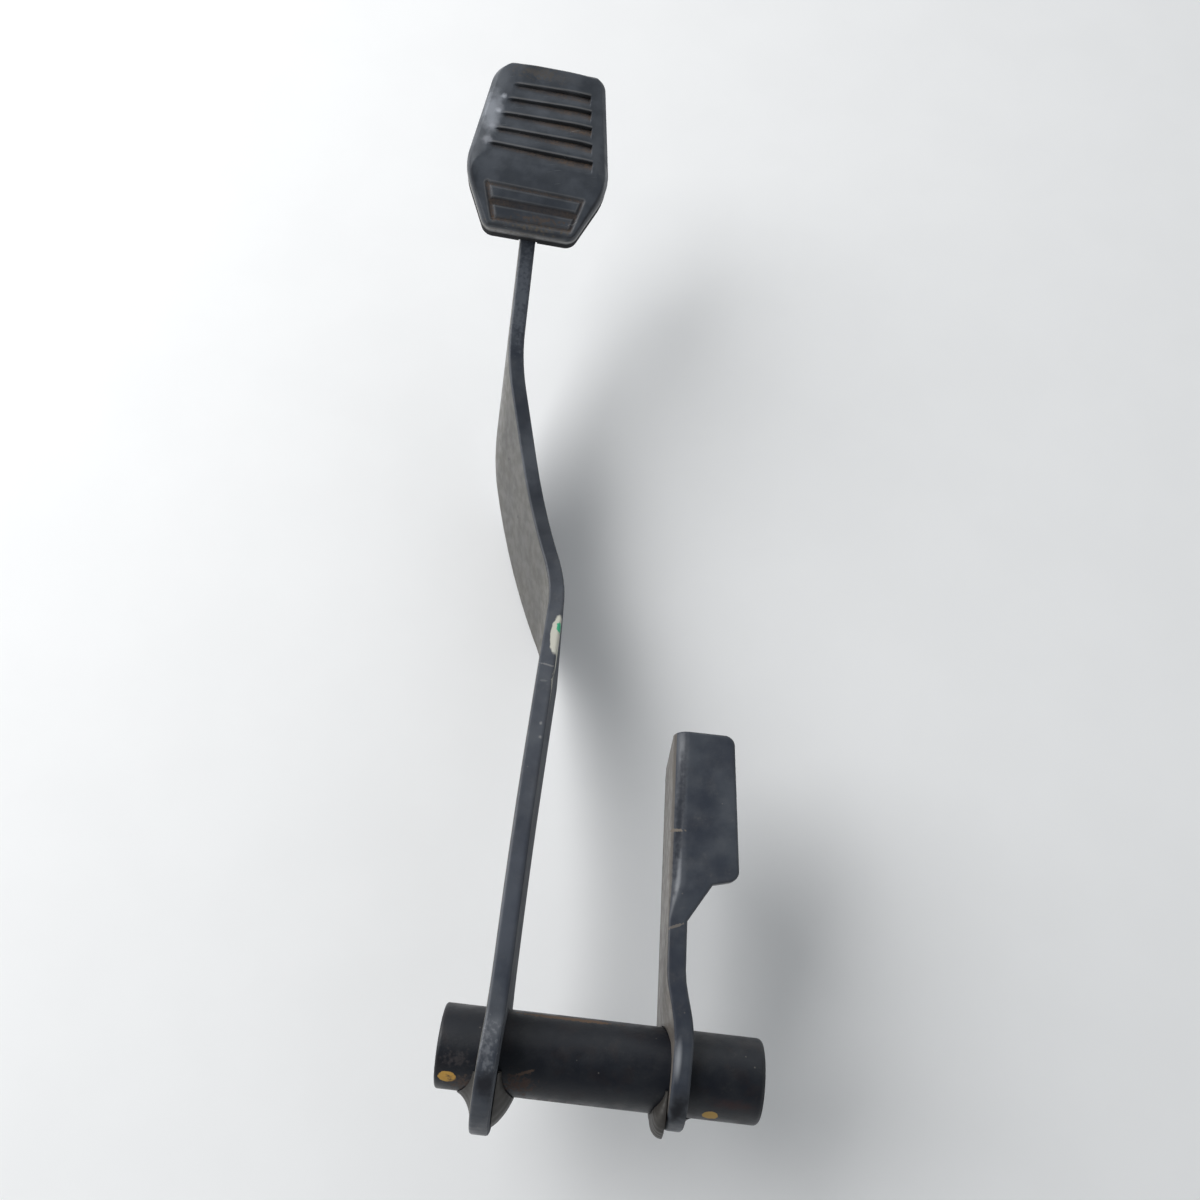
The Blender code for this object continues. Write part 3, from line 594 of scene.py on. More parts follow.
def gap_to_line(point: Vector, start: Vector, end: Vector) -> float:
    """Distance in the plane from a point to a straight line piece.

    Args:
        point: The point.
        start: The line's start.
        end: Its end.

    Returns:
        The distance.
    """
    way = end - start
    share = min(1.0, max(0.0, (point - start).dot(way) / way.length_squared))
    return (point - start - way * share).length


def on_pad(across: float, along: float, height: float) -> Triple:
    """A place on the pad, from its own axes to the pedal's, all in mm."""
    return tuple(Matrix(SEAT_ROWS) @ (Vector((across, along, height)) * MM) / MM)


@dataclass
class PadCover:
    """The moulded rubber cover on the pad: louvres above, a framed pair of bars below, a lip behind."""

    columns: int = 220
    rows: int = 310
    low_rows: int = 12
    high_rows: int = 44
    top_l: float = 43.4
    waist_l: float = -1.2
    bottom_l: float = -24.0
    top_half: float = 21.2
    waist_half: float = 28.27
    bottom_half: float = 17.4
    top_corner: float = 10.5
    right_corner: float = 6.0
    right_trim: float = 0.6
    bottom_corner: float = 5.0
    waist_ease: float = 7.0
    side_height: float = 5.8
    crown: float = 5.2
    crown_falls: Span = (0.30, 0.42)
    edge_round: float = 2.2
    edge_low: float = 0.40
    edge_zone: Span = (8.0, 12.0)
    edge_share: float = 0.50
    flank: float = 14.0
    flank_low: float = 0.12
    flank_zone: Span = (3.0, 16.0)
    worn_zone: Span = (8.0, 6.0)
    worn_left: Span = (-4.0, 16.0)
    worn_width: float = 0.22
    shade_zone: Span = (8.0, 4.0)
    shade_inset: float = 1.0
    shade_width: float = 0.65
    wall_zone: Span = (4.0, 10.0)
    wall_line: Span = (2.9, 4.2)
    gather: float = 0.35
    lip: float = 1.8
    wall: float = 3.0
    window_inset: float = 7.8
    ceiling: float = 3.1
    louvres: int = 5
    louvre_top_l: float = 33.5
    louvre_pitch: float = 6.2
    louvre_depth: float = 1.9
    louvre_starts: Span = (0.594, 0.931)
    louvre_stops: Span = (0.842, 1.0)
    louvre_sag: float = 0.36
    louvre_ramp: float = 0.88
    louvre_step: Span = (-0.05, 0.30)
    louvre_left: float = 0.62
    nose: float = 2.6
    nose_drop: float = 1.0
    nose_fade: float = 3.0
    stop_fade: float = 0.45
    dust_step: Span = (0.3, 0.7)
    dust_ends: tuple[Span, Span] = ((1.1, 2.4), (2.0, 4.2))
    dust_left: float = 0.35
    dust_top: float = 0.7
    line_step: Span = (-0.22, 0.04)
    line_thick: Span = (0.38, 0.60)
    line_fade: float = 2.4
    line_taper: Span = (0.2, 3.5)
    line_dark: float = 0.9
    shadow_dark: float = 0.38
    shadow_step: Span = (0.8, 3.2)
    crest: Span = (-0.50, 0.3)
    crest_worn: float = 0.5
    bars: tuple[Triple, ...] = ((18.4, -8.5, 1.0), (15.75, -14.5, 0.7), (14.9, -20.5, 0.4))
    groove: float = 1.6
    middle_groove: float = 2.6
    frame_grooves: tuple[Triple, ...] = ((0.7, 0.7, 0.0), (0.8, 0.9, 0.0), (1.0, 1.0, 0.0), (0.7, 0.5, 0.1))
    middle_dust_and_shade: Span = (0.5, 0.8)
    groove_crest: Span = (0.5, 0.25)
    groove_worn: float = 0.3
    groove_depth: float = 0.65
    groove_fade: Span = (-0.45, 0.40)
    slot_place: Triple = (0.0, -16.0, -1.9)
    slot_size: Triple = (7.2, 30.0, 4.2)
    side_shift: float = 0.8
    turn: float = math.radians(-1.9)
    crease: float = math.radians(38)

    def build(self, material: bpy.types.Material) -> bpy.types.Object:
        """Model the cover in its seat's own axes, then put it on the pad.

        Args:
            material: The rubber.

        Returns:
            The finished piece.
        """
        cover = self._tread_sheet()
        self._pull_walls()
        self._cut_arm_slot(cover)
        self._grime_and_shade_walls(cover)
        cover.matrix_world = Matrix(SEAT_ROWS)
        bpy.ops.object.transform_apply(location=True, rotation=True, scale=True)
        bpy.ops.object.shade_smooth_by_angle(angle=self.crease)
        dress(cover, material)
        return cover

    def _levels(self) -> list[float]:
        """Places of the sheet's rows along the pad, close together round the corners.

        Returns:
            The places in mm, from the foot up.
        """
        low_centre = self.bottom_l + self.bottom_corner
        high_centre = self.top_l - self.top_corner
        low_turns = [math.pi / 2 * i / self.low_rows for i in range(self.low_rows)]
        high_turns = [math.pi / 2 * i / self.high_rows for i in range(1, self.high_rows + 1)]
        low = [low_centre - self.bottom_corner * math.cos(turn) for turn in low_turns]
        high = [high_centre + self.top_corner * math.sin(turn) for turn in high_turns]
        count = self.rows - len(low) - len(high)
        middle = [low_centre + (high_centre - low_centre) * i / count for i in range(count + 1)]
        return low + middle + high

    def _corner_reach(self, along: float, half: float, slope: float, radius: float) -> float:
        """Half width on a corner's arc, or on the straight side past it.

        Args:
            along: Distance from the corner's end edge, inward.
            half: Half width of the sharp corner.
            slope: How fast the side widens inward.
            radius: The corner's radius.

        Returns:
            The half width at that distance.
        """
        lean = math.sqrt(1.0 + slope * slope)
        centre = half + slope * radius - radius * lean
        if along > radius * (1.0 - slope / lean):
            return half + slope * along
        return centre + math.sqrt(max(0.0, radius ** 2 - (radius - along) ** 2))

    def _half(self, along: float, right: bool) -> float:
        """Width of the rounded outline from the middle to one side.

        Args:
            along: Place along the pad in mm.
            right: Whether it is the right side.

        Returns:
            The width in mm.
        """
        top_half = self.top_half - (self.right_trim if right else 0.0)
        high = (self.waist_half - top_half) / (self.top_l - self.waist_l)
        low = (self.waist_half - self.bottom_half) / (self.waist_l - self.bottom_l)
        if along > self.waist_l + self.waist_ease:
            corner = self.right_corner if right else self.top_corner
            return self._corner_reach(self.top_l - along, top_half, high, corner)
        if along < self.waist_l - self.waist_ease:
            return self._corner_reach(along - self.bottom_l, self.bottom_half, low, self.bottom_corner)
        share = (along - self.waist_l) / self.waist_ease
        kink = (high + low) * self.waist_ease / 4.0 * (1.0 - abs(share)) ** 2
        straight = self.waist_half - (high if share > 0 else low) * self.waist_ease * abs(share)
        return straight - kink

    def _tread_sheet(self) -> bpy.types.Object:
        """Add the sheet that becomes the tread and draw it to the pad's outline and crown.

        Returns:
            The sheet's object.
        """
        deselect()
        bpy.ops.mesh.primitive_grid_add(x_subdivisions=self.columns, y_subdivisions=self.rows, size=2.0)
        cover = bpy.context.object
        cover.name = cover.data.name = "pad_cover"
        levels = self._levels()
        wear_and_shade = [cover.data.attributes.new(name, "FLOAT", "POINT") for name in WEAR_AND_SHADE]
        spin = Matrix.Rotation(self.turn, 2)
        for vertex in cover.data.vertices:
            along = levels[round((vertex.co.y + 1.0) / 2.0 * self.rows)]
            half = self._half(along, vertex.co.x > 0.0)
            across = half * mix((vertex.co.x, math.sin(vertex.co.x * math.pi / 2)), self.gather)
            inset = min(half - abs(across), self.top_l - along, along - self.bottom_l)
            place = spin @ Vector((across, along)) + Vector((self.side_shift, 0.0))
            drop, dusty, rim, dirt_and_shade = self._relief(place.x, place.y)
            worn, shade = self._rim_wear_and_shade(across, along, inset)
            height = self._tread(place.x, place.y, inset) - drop
            vertex.co = Vector((place.x, place.y, height)) * MM
            # The third layer is grime and painted shade: louvre lines and shadows, the middle groove, and the
            # band inside the lower outline.
            for layer, value in zip(wear_and_shade, (dusty, max(rim, worn), max(dirt_and_shade, shade))):
                layer.data[vertex.index].value = value
        return cover

    def _past_waist(self, along: float, zone: Span) -> float:
        """0 below the waist and 1 above it, with a smooth step from one distance before it to one past it."""
        return smooth(along, self.waist_l - zone[0], self.waist_l + zone[1])

    def _tread(self, across: float, along: float, inset: float) -> float:
        """Height of the plain tread: a tight round at the outline and then a broad convex flank.

        Args:
            across: Place across the pad in mm.
            along: Place along it.
            inset: Distance in from the outline.

        Returns:
            The height in mm.
        """
        upper = smooth(along, self.waist_l, self.top_l)
        lower = smooth(-along, -self.waist_l, -self.bottom_l)
        rise = self.crown * (1.0 - self.crown_falls[0] * upper - self.crown_falls[1] * lower)
        half = self._half(min(max(along, self.bottom_l), self.top_l), across > self.side_shift)
        side = max(0.0, half - abs(across - self.side_shift))
        tight = self.edge_round * mix((self.edge_low, 1.0), self._past_waist(along, self.edge_zone))
        edge = math.sin(math.pi / 2 * min(1.0, max(0.0, inset) / tight))
        broad = self.flank * mix((self.flank_low, 1.0), self._past_waist(along, self.flank_zone))
        flank = math.sin(math.pi / 2 * min(1.0, side / broad))
        return self.side_height + rise * edge * mix((self.edge_share, 1.0), flank)

    def _rim_wear_and_shade(self, across: float, along: float, inset: float) -> tuple[float, float]:
        """Wear and painted shade at the tread's outline: only below the waist, and worn most at the left.

        Args:
            across: Place across the pad in mm.
            along: Place along it.
            inset: Distance in from the outline.

        Returns:
            The wear and the painted shade, from 0 to 1.
        """
        left = mix((1.4, 0.56), smooth(across, *self.worn_left))
        worn = left * (1.0 - self._past_waist(along, self.worn_zone)) * bell(inset, 0.0, self.worn_width)
        # Painted shade in a thin band just inside the outline, below the waist.
        painted_rim_shade = 0.5 * (1.0 - self._past_waist(along, self.shade_zone))
        return min(1.0, worn), painted_rim_shade * bell(inset, self.shade_inset, self.shade_width)

    def _relief(self, across: float, along: float) -> tuple[float, float, float, float]:
        """How far louvres and grooves sink the tread at a place.

        A louvre's upper edge sags to the right and rounds down at its left end.

        Args:
            across: Place across the pad in mm.
            along: Place along it in mm.

        Returns:
            The depth in mm, how dusty it is, how near a lip it is, and its black grime and painted shade.
        """
        depth, dusty, rim, grime_and_shade = self._groove_relief(across, along)
        for index in range(self.louvres):
            share = index / (self.louvres - 1)
            left = -self.top_half * mix(self.louvre_starts, share)
            right = self.top_half * mix(self.louvre_stops, share)
            if not left < across < right + self.stop_fade:
                continue
            sag = self.louvre_sag * share ** 2 * (across - left) / (right - left)
            inward = min(1.0, (across - left) / self.nose)
            below = self.louvre_top_l - self.louvre_pitch * (index + sag) - along
            below -= self.nose_drop * (1.0 - math.sqrt(1.0 - (1.0 - inward) ** 2))
            beside = smooth(across, left, right)
            ends = smooth(across, left, left + self.nose_fade)
            ends *= 1.0 - smooth(across, right, right + self.stop_fade)
            run = min(1.0, max(0.0, below / (self.louvre_pitch * self.louvre_ramp)))
            sunk = smooth(below, *self.louvre_step) * (1.0 - run) ** 1.5 * ends
            depth = max(depth, self.louvre_depth * sunk * mix((self.louvre_left, 1.0), beside))
            crumbs = 1.0 - smooth(below, *(mix(end, beside) for end in self.dust_ends))
            crumbs *= smooth(below, *self.dust_step) * ends
            dusty = max(dusty, crumbs * mix((self.dust_left, 1.0), beside) * mix((self.dust_top, 1.0), share))
            # Under each louvre's step: a black line, partly grime and partly painted shade, then a painted
            # shadow fading below it.
            thick = mix(self.line_thick, beside)
            line = self.line_dark * (1.0 - smooth(below, thick, thick * self.line_fade))
            shadow = self.shadow_dark * (1.0 - smooth(below, *self.shadow_step))
            taper = smooth(across, *(left + reach for reach in self.line_taper))
            grime_and_shade = max(grime_and_shade, smooth(below, *self.line_step) * max(line, shadow) * ends * taper)
            rim = max(rim, bell(below, *self.crest) * ends * self.crest_worn)
        return depth, dusty, rim, grime_and_shade

    def _groove_relief(self, across: float, along: float) -> tuple[float, float, float, float]:
        """How far the grooves round the two bars below the waist sink the tread at a place.

        Args:
            across: Place across the pad in mm.
            along: Place along it in mm.

        Returns:
            The same four numbers as _relief.
        """
        top, middle, foot = [((-half, place + dip), (half, place - dip)) for half, place, dip in self.bars]
        sides = (top[0], foot[0]), (top[1], foot[1])
        lines = [(*ends, self.groove * wide, dust, dirt_and_shade)
                 for ends, (wide, dust, dirt_and_shade) in zip((top, foot, *sides), self.frame_grooves)]
        # The middle groove gets dust and a dark share, partly grime and partly painted shade.
        lines.append((*middle, self.middle_groove, *self.middle_dust_and_shade))
        point = Vector((across - self.side_shift, along))
        sunk = dusty = rim = grime_and_shade = 0.0
        for start, end, width, dust, dirt_and_shade in lines:
            gap = gap_to_line(point, Vector(start), Vector(end)) - width / 2
            sink = 1.0 - smooth(gap, *self.groove_fade)
            sunk, dusty, grime_and_shade = max(sunk, sink), max(dusty, sink * dust), max(grime_and_shade, sink * dirt_and_shade)
            rim = max(rim, bell(gap, *self.groove_crest) * self.groove_worn)
        return self.groove_depth * sunk, dusty, rim * (1.0 - sunk), grime_and_shade

    def _rim_to(self, level: float, grow: float) -> None:
        """Draw the selected rim to a level and scale it across the pad.

        Args:
            level: Height of the new rim in mm.
            grow: How much wider it is than the old one, in mm on each side.
        """
        bpy.ops.mesh.extrude_region_move()
        wide = (1.0 + grow / self.waist_half, 1.0 + grow / (self.top_l - self.bottom_l) * 2.0, 0.0)
        middle = (self.side_shift * MM, (self.top_l + self.bottom_l) / 2 * MM, level * MM)
        bpy.ops.transform.resize(value=wide, center_override=middle)

    def _pull_walls(self) -> None:
        """Pull the tread's rim down as the wall, turn it under as a lip, and line the plate's pocket."""
        edit_all()
        bpy.ops.mesh.region_to_loop()
        top, foot = self.side_height, -self.lip
        wall = ((top - 0.9, -0.10), (top - 2.2, -0.05), (3.0, -0.05), (1.4, 0.0), (0.2, 0.0),
                (foot + 0.9, 0.0))
        lip = ((foot + 0.3, -0.22), (foot, -0.65), (foot, 0.9 - self.window_inset), (foot + 0.5, -0.4))
        pocket = ((-0.1, 0.0), (0.0, self.window_inset - self.wall), (self.ceiling, 0.0))
        for level, grow in (*wall, *lip, *pocket):
            self._rim_to(level, grow)
        bpy.ops.mesh.edge_face_add()
        face_outward()

    def _grime_and_shade_walls(self, cover: bpy.types.Object) -> None:
        """Give the walls and underside grime and painted shade in place of the tread's own wear.

        Args:
            cover: The cover's object, still in its seat's own axes.
        """
        wear_and_shade = [cover.data.attributes[name].data for name in WEAR_AND_SHADE]
        for vertex in cover.data.vertices:
            if vertex.co.z < (self.side_height - 0.4) * MM:
                low = 1.0 - self._past_waist(vertex.co.y / MM, self.wall_zone)
                line = low * smooth(vertex.co.z / MM, *self.wall_line)
                # Walls and underside get black grime and painted shade, strongest below the waist; the band
                # near the wall's top gets edge wear.
                for layer, value in zip(wear_and_shade, (0.0, 0.65 * line, mix((0.30, 1.0), low) * (1.0 - line))):
                    layer[vertex.index].value = value

    def _cut_arm_slot(self, cover: bpy.types.Object) -> None:
        """Cut the slot in the lip that the arm passes through.

        Args:
            cover: The cover's object, still in its seat's own axes.
        """
        deselect()
        bpy.ops.mesh.primitive_cube_add(size=1.0, location=Vector(self.slot_place) * MM)
        slot = bpy.context.object
        slot.scale = Vector(self.slot_size) * MM
        bpy.ops.object.transform_apply(location=True, rotation=True, scale=True)
        deselect()
        bpy.context.view_layer.objects.active = cover
        cover.select_set(True)
        cut = cover.modifiers.new("arm_slot", "BOOLEAN")
        cut.object, cut.operation, cut.solver = slot, "DIFFERENCE", "EXACT"
        bpy.ops.object.modifier_apply(modifier=cut.name)
        bpy.data.objects.remove(slot)


@dataclass
class TubeShell:
    """The cross tube, turned smooth, with a sharp left end and a softer right one."""

    length: float = 101.0
    radius: float = 12.7
    wall: float = 2.6
    left_round: float = 0.9
    right_round: float = 1.8
    lead: float = 0.52
    around: int = 192
    round_steps: int = 8
    crease: float = math.radians(40)

    def build(self, material: bpy.types.Material) -> bpy.types.Object:
        """Draw the tube from a circle at its left bore mouth, along the outside, to the right one.

        Args:
            material: The paint.

        Returns:
            The finished piece.
        """
        deselect()
        profile = self._profile()
        last_x, last_radius = profile[0]
        bpy.ops.mesh.primitive_circle_add(vertices=self.around, radius=last_radius * MM,
                                          rotation=(0.0, math.pi / 2, 0.0), location=(last_x * MM, 0.0, 0.0))
        tube = bpy.context.object
        tube.name = tube.data.name = "tube_shell"
        bpy.ops.object.transform_apply(location=True, rotation=True, scale=True)
        edit_all()
        for x, radius in profile[1:]:
            bpy.ops.mesh.extrude_region_move()
            bpy.ops.transform.translate(value=((x - last_x) * MM, 0.0, 0.0))
            grow = radius / last_radius
            bpy.ops.transform.resize(value=(1.0, grow, grow), center_override=(x * MM, 0.0, 0.0))
            last_x, last_radius = x, radius
        bpy.ops.mesh.select_all(action="DESELECT")
        bpy.ops.mesh.select_mode(type="VERT")
        bpy.ops.mesh.select_non_manifold()
        bpy.ops.mesh.bridge_edge_loops()
        face_outward()
        bpy.ops.object.shade_smooth_by_angle(angle=self.crease)
        dress(tube, material)
        return tube

    def _profile(self) -> list[Span]:
        """Draw the tube's section.

        Returns:
            Places along the tube and their radii in mm, from one bore mouth to the other.
        """
        half, bore = self.length / 2, self.radius - self.wall
        left = [(-half + end, self.radius - side) for end, side in reversed(self._corner(self.left_round))]
        right = [(half - end, self.radius - side) for end, side in self._corner(self.right_round)]
        return [(-half + self.lead, bore), (-half, bore + self.lead), *left, *right,
                (half, bore + self.lead), (half - self.lead, bore)]

    def _corner(self, size: float) -> list[Span]:
        """Points of an end's round, as distances in from the end face and from the outside."""
        turns = [math.pi / 2 * i / self.round_steps for i in range(self.round_steps + 1)]
        return [(size * (1.0 - math.sin(turn)), size * (1.0 - math.cos(turn))) for turn in turns]


@dataclass(frozen=True)
class WeldBead:
    """A hand-laid weld bead in the corner between the tube and a plate, with its ripples."""

    node: str
    plate_x: float
    side: int
    leg: float
    out_share: float
    belly: float
    start: float
    end: float
    lean: float = 0.0
    gap: float = 0.3
    tube_radius: float = 12.7
    ripple: float = 0.025
    ripples: int = 19
    swell: Span = (0.18, 0.38)
    fade: Span = (0.92, 0.6)
    unevenness: float = 0.03
    lean_from: float = 18.0
    waver: float = 23.0
    steps: int = 110
    points: int = 20
    merge_gap: float = 0.000001
    crease: float = math.radians(50)

    def build(self, material: bpy.types.Material) -> bpy.types.Object:
        """Spin the bead's section round the tube, then let it grow, ripple and fade out.

        Args:
            material: The bead's finish.

        Returns:
            The finished piece.
        """
        deselect()
        bpy.ops.mesh.primitive_circle_add(vertices=self.points, radius=MM, fill_type="NGON")
        bead = bpy.context.object
        bead.name = bead.data.name = self.node + "_bead"
        turn = math.pi / 2 * self.start
        whole = math.pi / 2 * (self.end - self.start)
        for vertex, (along, out) in zip(bead.data.vertices, self._section()):
            reach = self.tube_radius + self.gap + out
            vertex.co = Vector((along, reach * math.cos(turn), reach * math.sin(turn))) * MM
        edit_all()
        bpy.ops.mesh.spin(steps=self.steps, angle=-whole, center=(0.0, 0.0, 0.0), axis=(1.0, 0.0, 0.0))
        bpy.ops.mesh.select_all(action="SELECT")
        bpy.ops.mesh.remove_doubles(threshold=self.merge_gap)
        bpy.ops.object.mode_set(mode="OBJECT")
        for vertex in bead.data.vertices:
            vertex.co = self._laid(vertex.co / MM, turn, whole) * MM
        edit_all()
        face_outward()
        bpy.ops.object.shade_smooth_by_angle(angle=self.crease)
        dress(bead, material)
        return bead

    def _section(self) -> list[Span]:
        """Draw the section: the corner, then the bowed face.

        Returns:
            Places along the tube and out from it, in legs.
        """
        count = self.points - 1
        pull = 2.0 * self.belly - 0.5
        face = []
        for index in range(count):
            share = index / (count - 1)
            bow = 2.0 * share * (1.0 - share) * pull
            face.append(((1.0 - share) ** 2 + bow, share ** 2 + bow))
        return [(0.0, 0.0), *face]

    def _laid(self, place: Vector, turn: float, whole: float) -> Vector:
        """Where a point of the spun section ends up.

        Args:
            place: The point in mm.
            turn: Where the bead starts round the tube, in radians.
            whole: How far round it goes.

        Returns:
            The point's place in mm.
        """
        angle = (math.atan2(place.z, place.y) - turn + 0.5) % math.tau - 0.5
        share = min(1.0, max(0.0, angle / whole))
        first, swell_end = self.swell
        fade_start, fade_share = self.fade
        grown = mix((first, 1.0), smooth(share, 0.0, swell_end))
        grown *= 1.0 - fade_share * smooth(share, fade_start, 1.0)
        wave = abs(math.sin(share * math.pi * self.ripples))
        uneven = math.sin(share * self.waver + self.plate_x) * self.unevenness
        size = self.leg * grown * (1.0 - self.ripple * (1.0 - wave) + uneven)
        out = math.hypot(place.y, place.z) - self.tube_radius - self.gap
        reach = self.tube_radius + self.gap + out * size * self.out_share
        y, z = reach * math.cos(turn + angle), reach * math.sin(turn + angle)
        face = self.plate_x - self.lean * (self.lean_from - y)
        return Vector((face + self.side * (self.gap + place.x * size), y, z))


SOFT, RAGGED, CRISP, SPECKLED, GLINT = MarkEdge
ARM_MARKS = (
    Mark((-31, 138, -4.6), (2.7, 13, 4.4), (0.52, 0.51, 0.44), CRISP, 1.0, 0.75),
    Mark((-29.9, 120, 2), (0.7, 7, 2.2), (0.40, 0.39, 0.34), RAGGED, 0.8, 0.75),
    Mark((-30.4, 143.4, -5.4), (1.3, 2.8, 1.8), (0.02, 0.36, 0.18), RAGGED, 1.0, 0.6),
    Mark((-32.9, 127.6, -0.2), (3, 0.42, 4), (0.20, 0.20, 0.20), RAGGED, 0.7, 0.6, (0, 0, -0.16)),
    Mark((-33.6, 121, 3), (1.5, 0.4, 3), (0.15, 0.155, 0.16), RAGGED, 0.5, 0.6),
    Mark((-31.9, 104.4, 9.2), (0.8, 0.9, 1), (0.20, 0.20, 0.20), SOFT, 0.9, 0.6),
    Mark((-31.4, 99.1, 11), (0.8, 0.9, 1), (0.19, 0.19, 0.19), SOFT, 0.9, 0.6),
    Mark((-60, 217, -19.8), (0.7, 0.7, 0.7), (0.02, 0.02, 0.025), RAGGED, 0.9, 0.5),
    Mark((-53.8, 195.5, -27.1), (0.6, 0.8, 0.8), (0.02, 0.02, 0.025), RAGGED, 0.8, 0.5),
    # The boss's front: painted light and painted glints among speckled scuffs on its upper part, and painted
    # shade where it curves down.
    Mark((-33.8, 6.6, 23), (4, 14, 5), (0.080, 0.086, 0.098), SOFT, 0.65, 0.38, front=True),
    Mark((-34.4, 1.2, 23), (2.9, 8.5, 3), (0.22, 0.23, 0.25), SPECKLED, 0.42, 0.34),
    Mark((-33.6, -8.6, 22.8), (5.5, 7.5, 6), (0.005, 0.006, 0.011), SOFT, 1.0, 0.6, front=True),
    # Painted light on the front of the neck, with light specks, and lower down the arm's front; painted shade
    # over its middle.
    Mark((-61.3, 272, 13), (8, 27, 13), (0.085, 0.096, 0.115), SPECKLED, 0.8, 0.5, front=True),
    Mark((-49.5, 213, -7), (8, 20, 9), (0.115, 0.125, 0.145), SOFT, 0.6, 0.42, front=True),
    Mark((-35, 40, 20), (9, 34, 9), (0.070, 0.080, 0.100), SOFT, 0.7, 0.42, front=True),
    Mark((-44, 175, -18), (22, 60, 16), (0.018, 0.022, 0.031), SOFT, 0.75, 0.44, front=True),
    # Painted light reflected from the floor onto the tail below the tube.
    Mark((-33.5, -22.5, 9), (4, 7, 6.5), (0.075, 0.080, 0.088), SOFT, 0.7, 0.5),
)
TUBE_MARKS = (
    Mark((-46.4, -8.4, 9.5), (2.9, 2, 2.4), (0.56, 0.32, 0.07), CRISP, 1.0, 0.7),
    Mark((34.9, -10.8, 6.7), (2.6, 1.8, 2.6), (0.42, 0.26, 0.07), CRISP, 1.0, 0.7),
    Mark((34.9, -12.4, 1.5), (5, 2.2, 3), (0.090, 0.040, 0.024), SOFT, 0.5, 0.7),
    Mark((-41.5, -9.5, 7.5), (6, 4, 5), (0.085, 0.058, 0.046), SPECKLED, 0.8, 0.75),
    Mark((-44, -3, 12), (4.5, 3, 3), (0.040, 0.034, 0.036), SPECKLED, 0.7, 0.75),
    Mark((-24.5, -8.5, 9.2), (6, 4.6, 5), (0.070, 0.040, 0.030), SPECKLED, 0.85, 0.75),
    Mark((-12, -12.3, 1.5), (14, 1.6, 3.4), (0.055, 0.036, 0.028), SPECKLED, 0.6, 0.75),
    Mark((41, -7, 10.5), (9, 2.4, 3.2), (0.030, 0.012, 0.012), SOFT, 0.7, 0.6),
    Mark((-22.8, -4.6, 11.8), (3.4, 0.5, 0.9), (0.12, 0.075, 0.050), RAGGED, 0.6, 0.7, (0, 0, 0.35)),
    Mark((-12, 11.9, 4.4), (17, 0.7, 1.6), (0.16, 0.095, 0.055), RAGGED, 0.8, 0.7),
)
LEVER_MARKS = (
    # Painted highlights on the ring and on the bend's front edge, and painted shade along the bend.
    Mark((22.9, 4.3, 17.2), (1.4, 8, 2.2), (0.30, 0.31, 0.33), GLINT, 0.9, 0.28),
    Mark((17, 77, 17.4), (2.4, 36, 2.6), (0.015, 0.018, 0.026), SOFT, 0.95, 0.9),
    Mark((18.2, 58, 18.2), (1.2, 8, 1.2), (0.15, 0.16, 0.18), GLINT, 0.7, 0.35),
    Mark((17.5, 30, 10), (4, 24, 12), (0.052, 0.047, 0.045), SOFT, 0.5, 0.7),
    # Painted shade on the lower ring.
    Mark((24.3, -10, 13.6), (5.5, 8.5, 8), (0.003, 0.004, 0.008), SOFT, 1.0, 0.85),
    Mark((16.3, 72.4, 16.5), (3.2, 0.6, 4), (0.17, 0.14, 0.11), RAGGED, 0.8, 0.7),
    Mark((18.6, 42.6, 18.4), (3.2, 0.5, 1.6), (0.16, 0.14, 0.12), RAGGED, 0.8, 0.7, (0, 0, 0.42)),
)
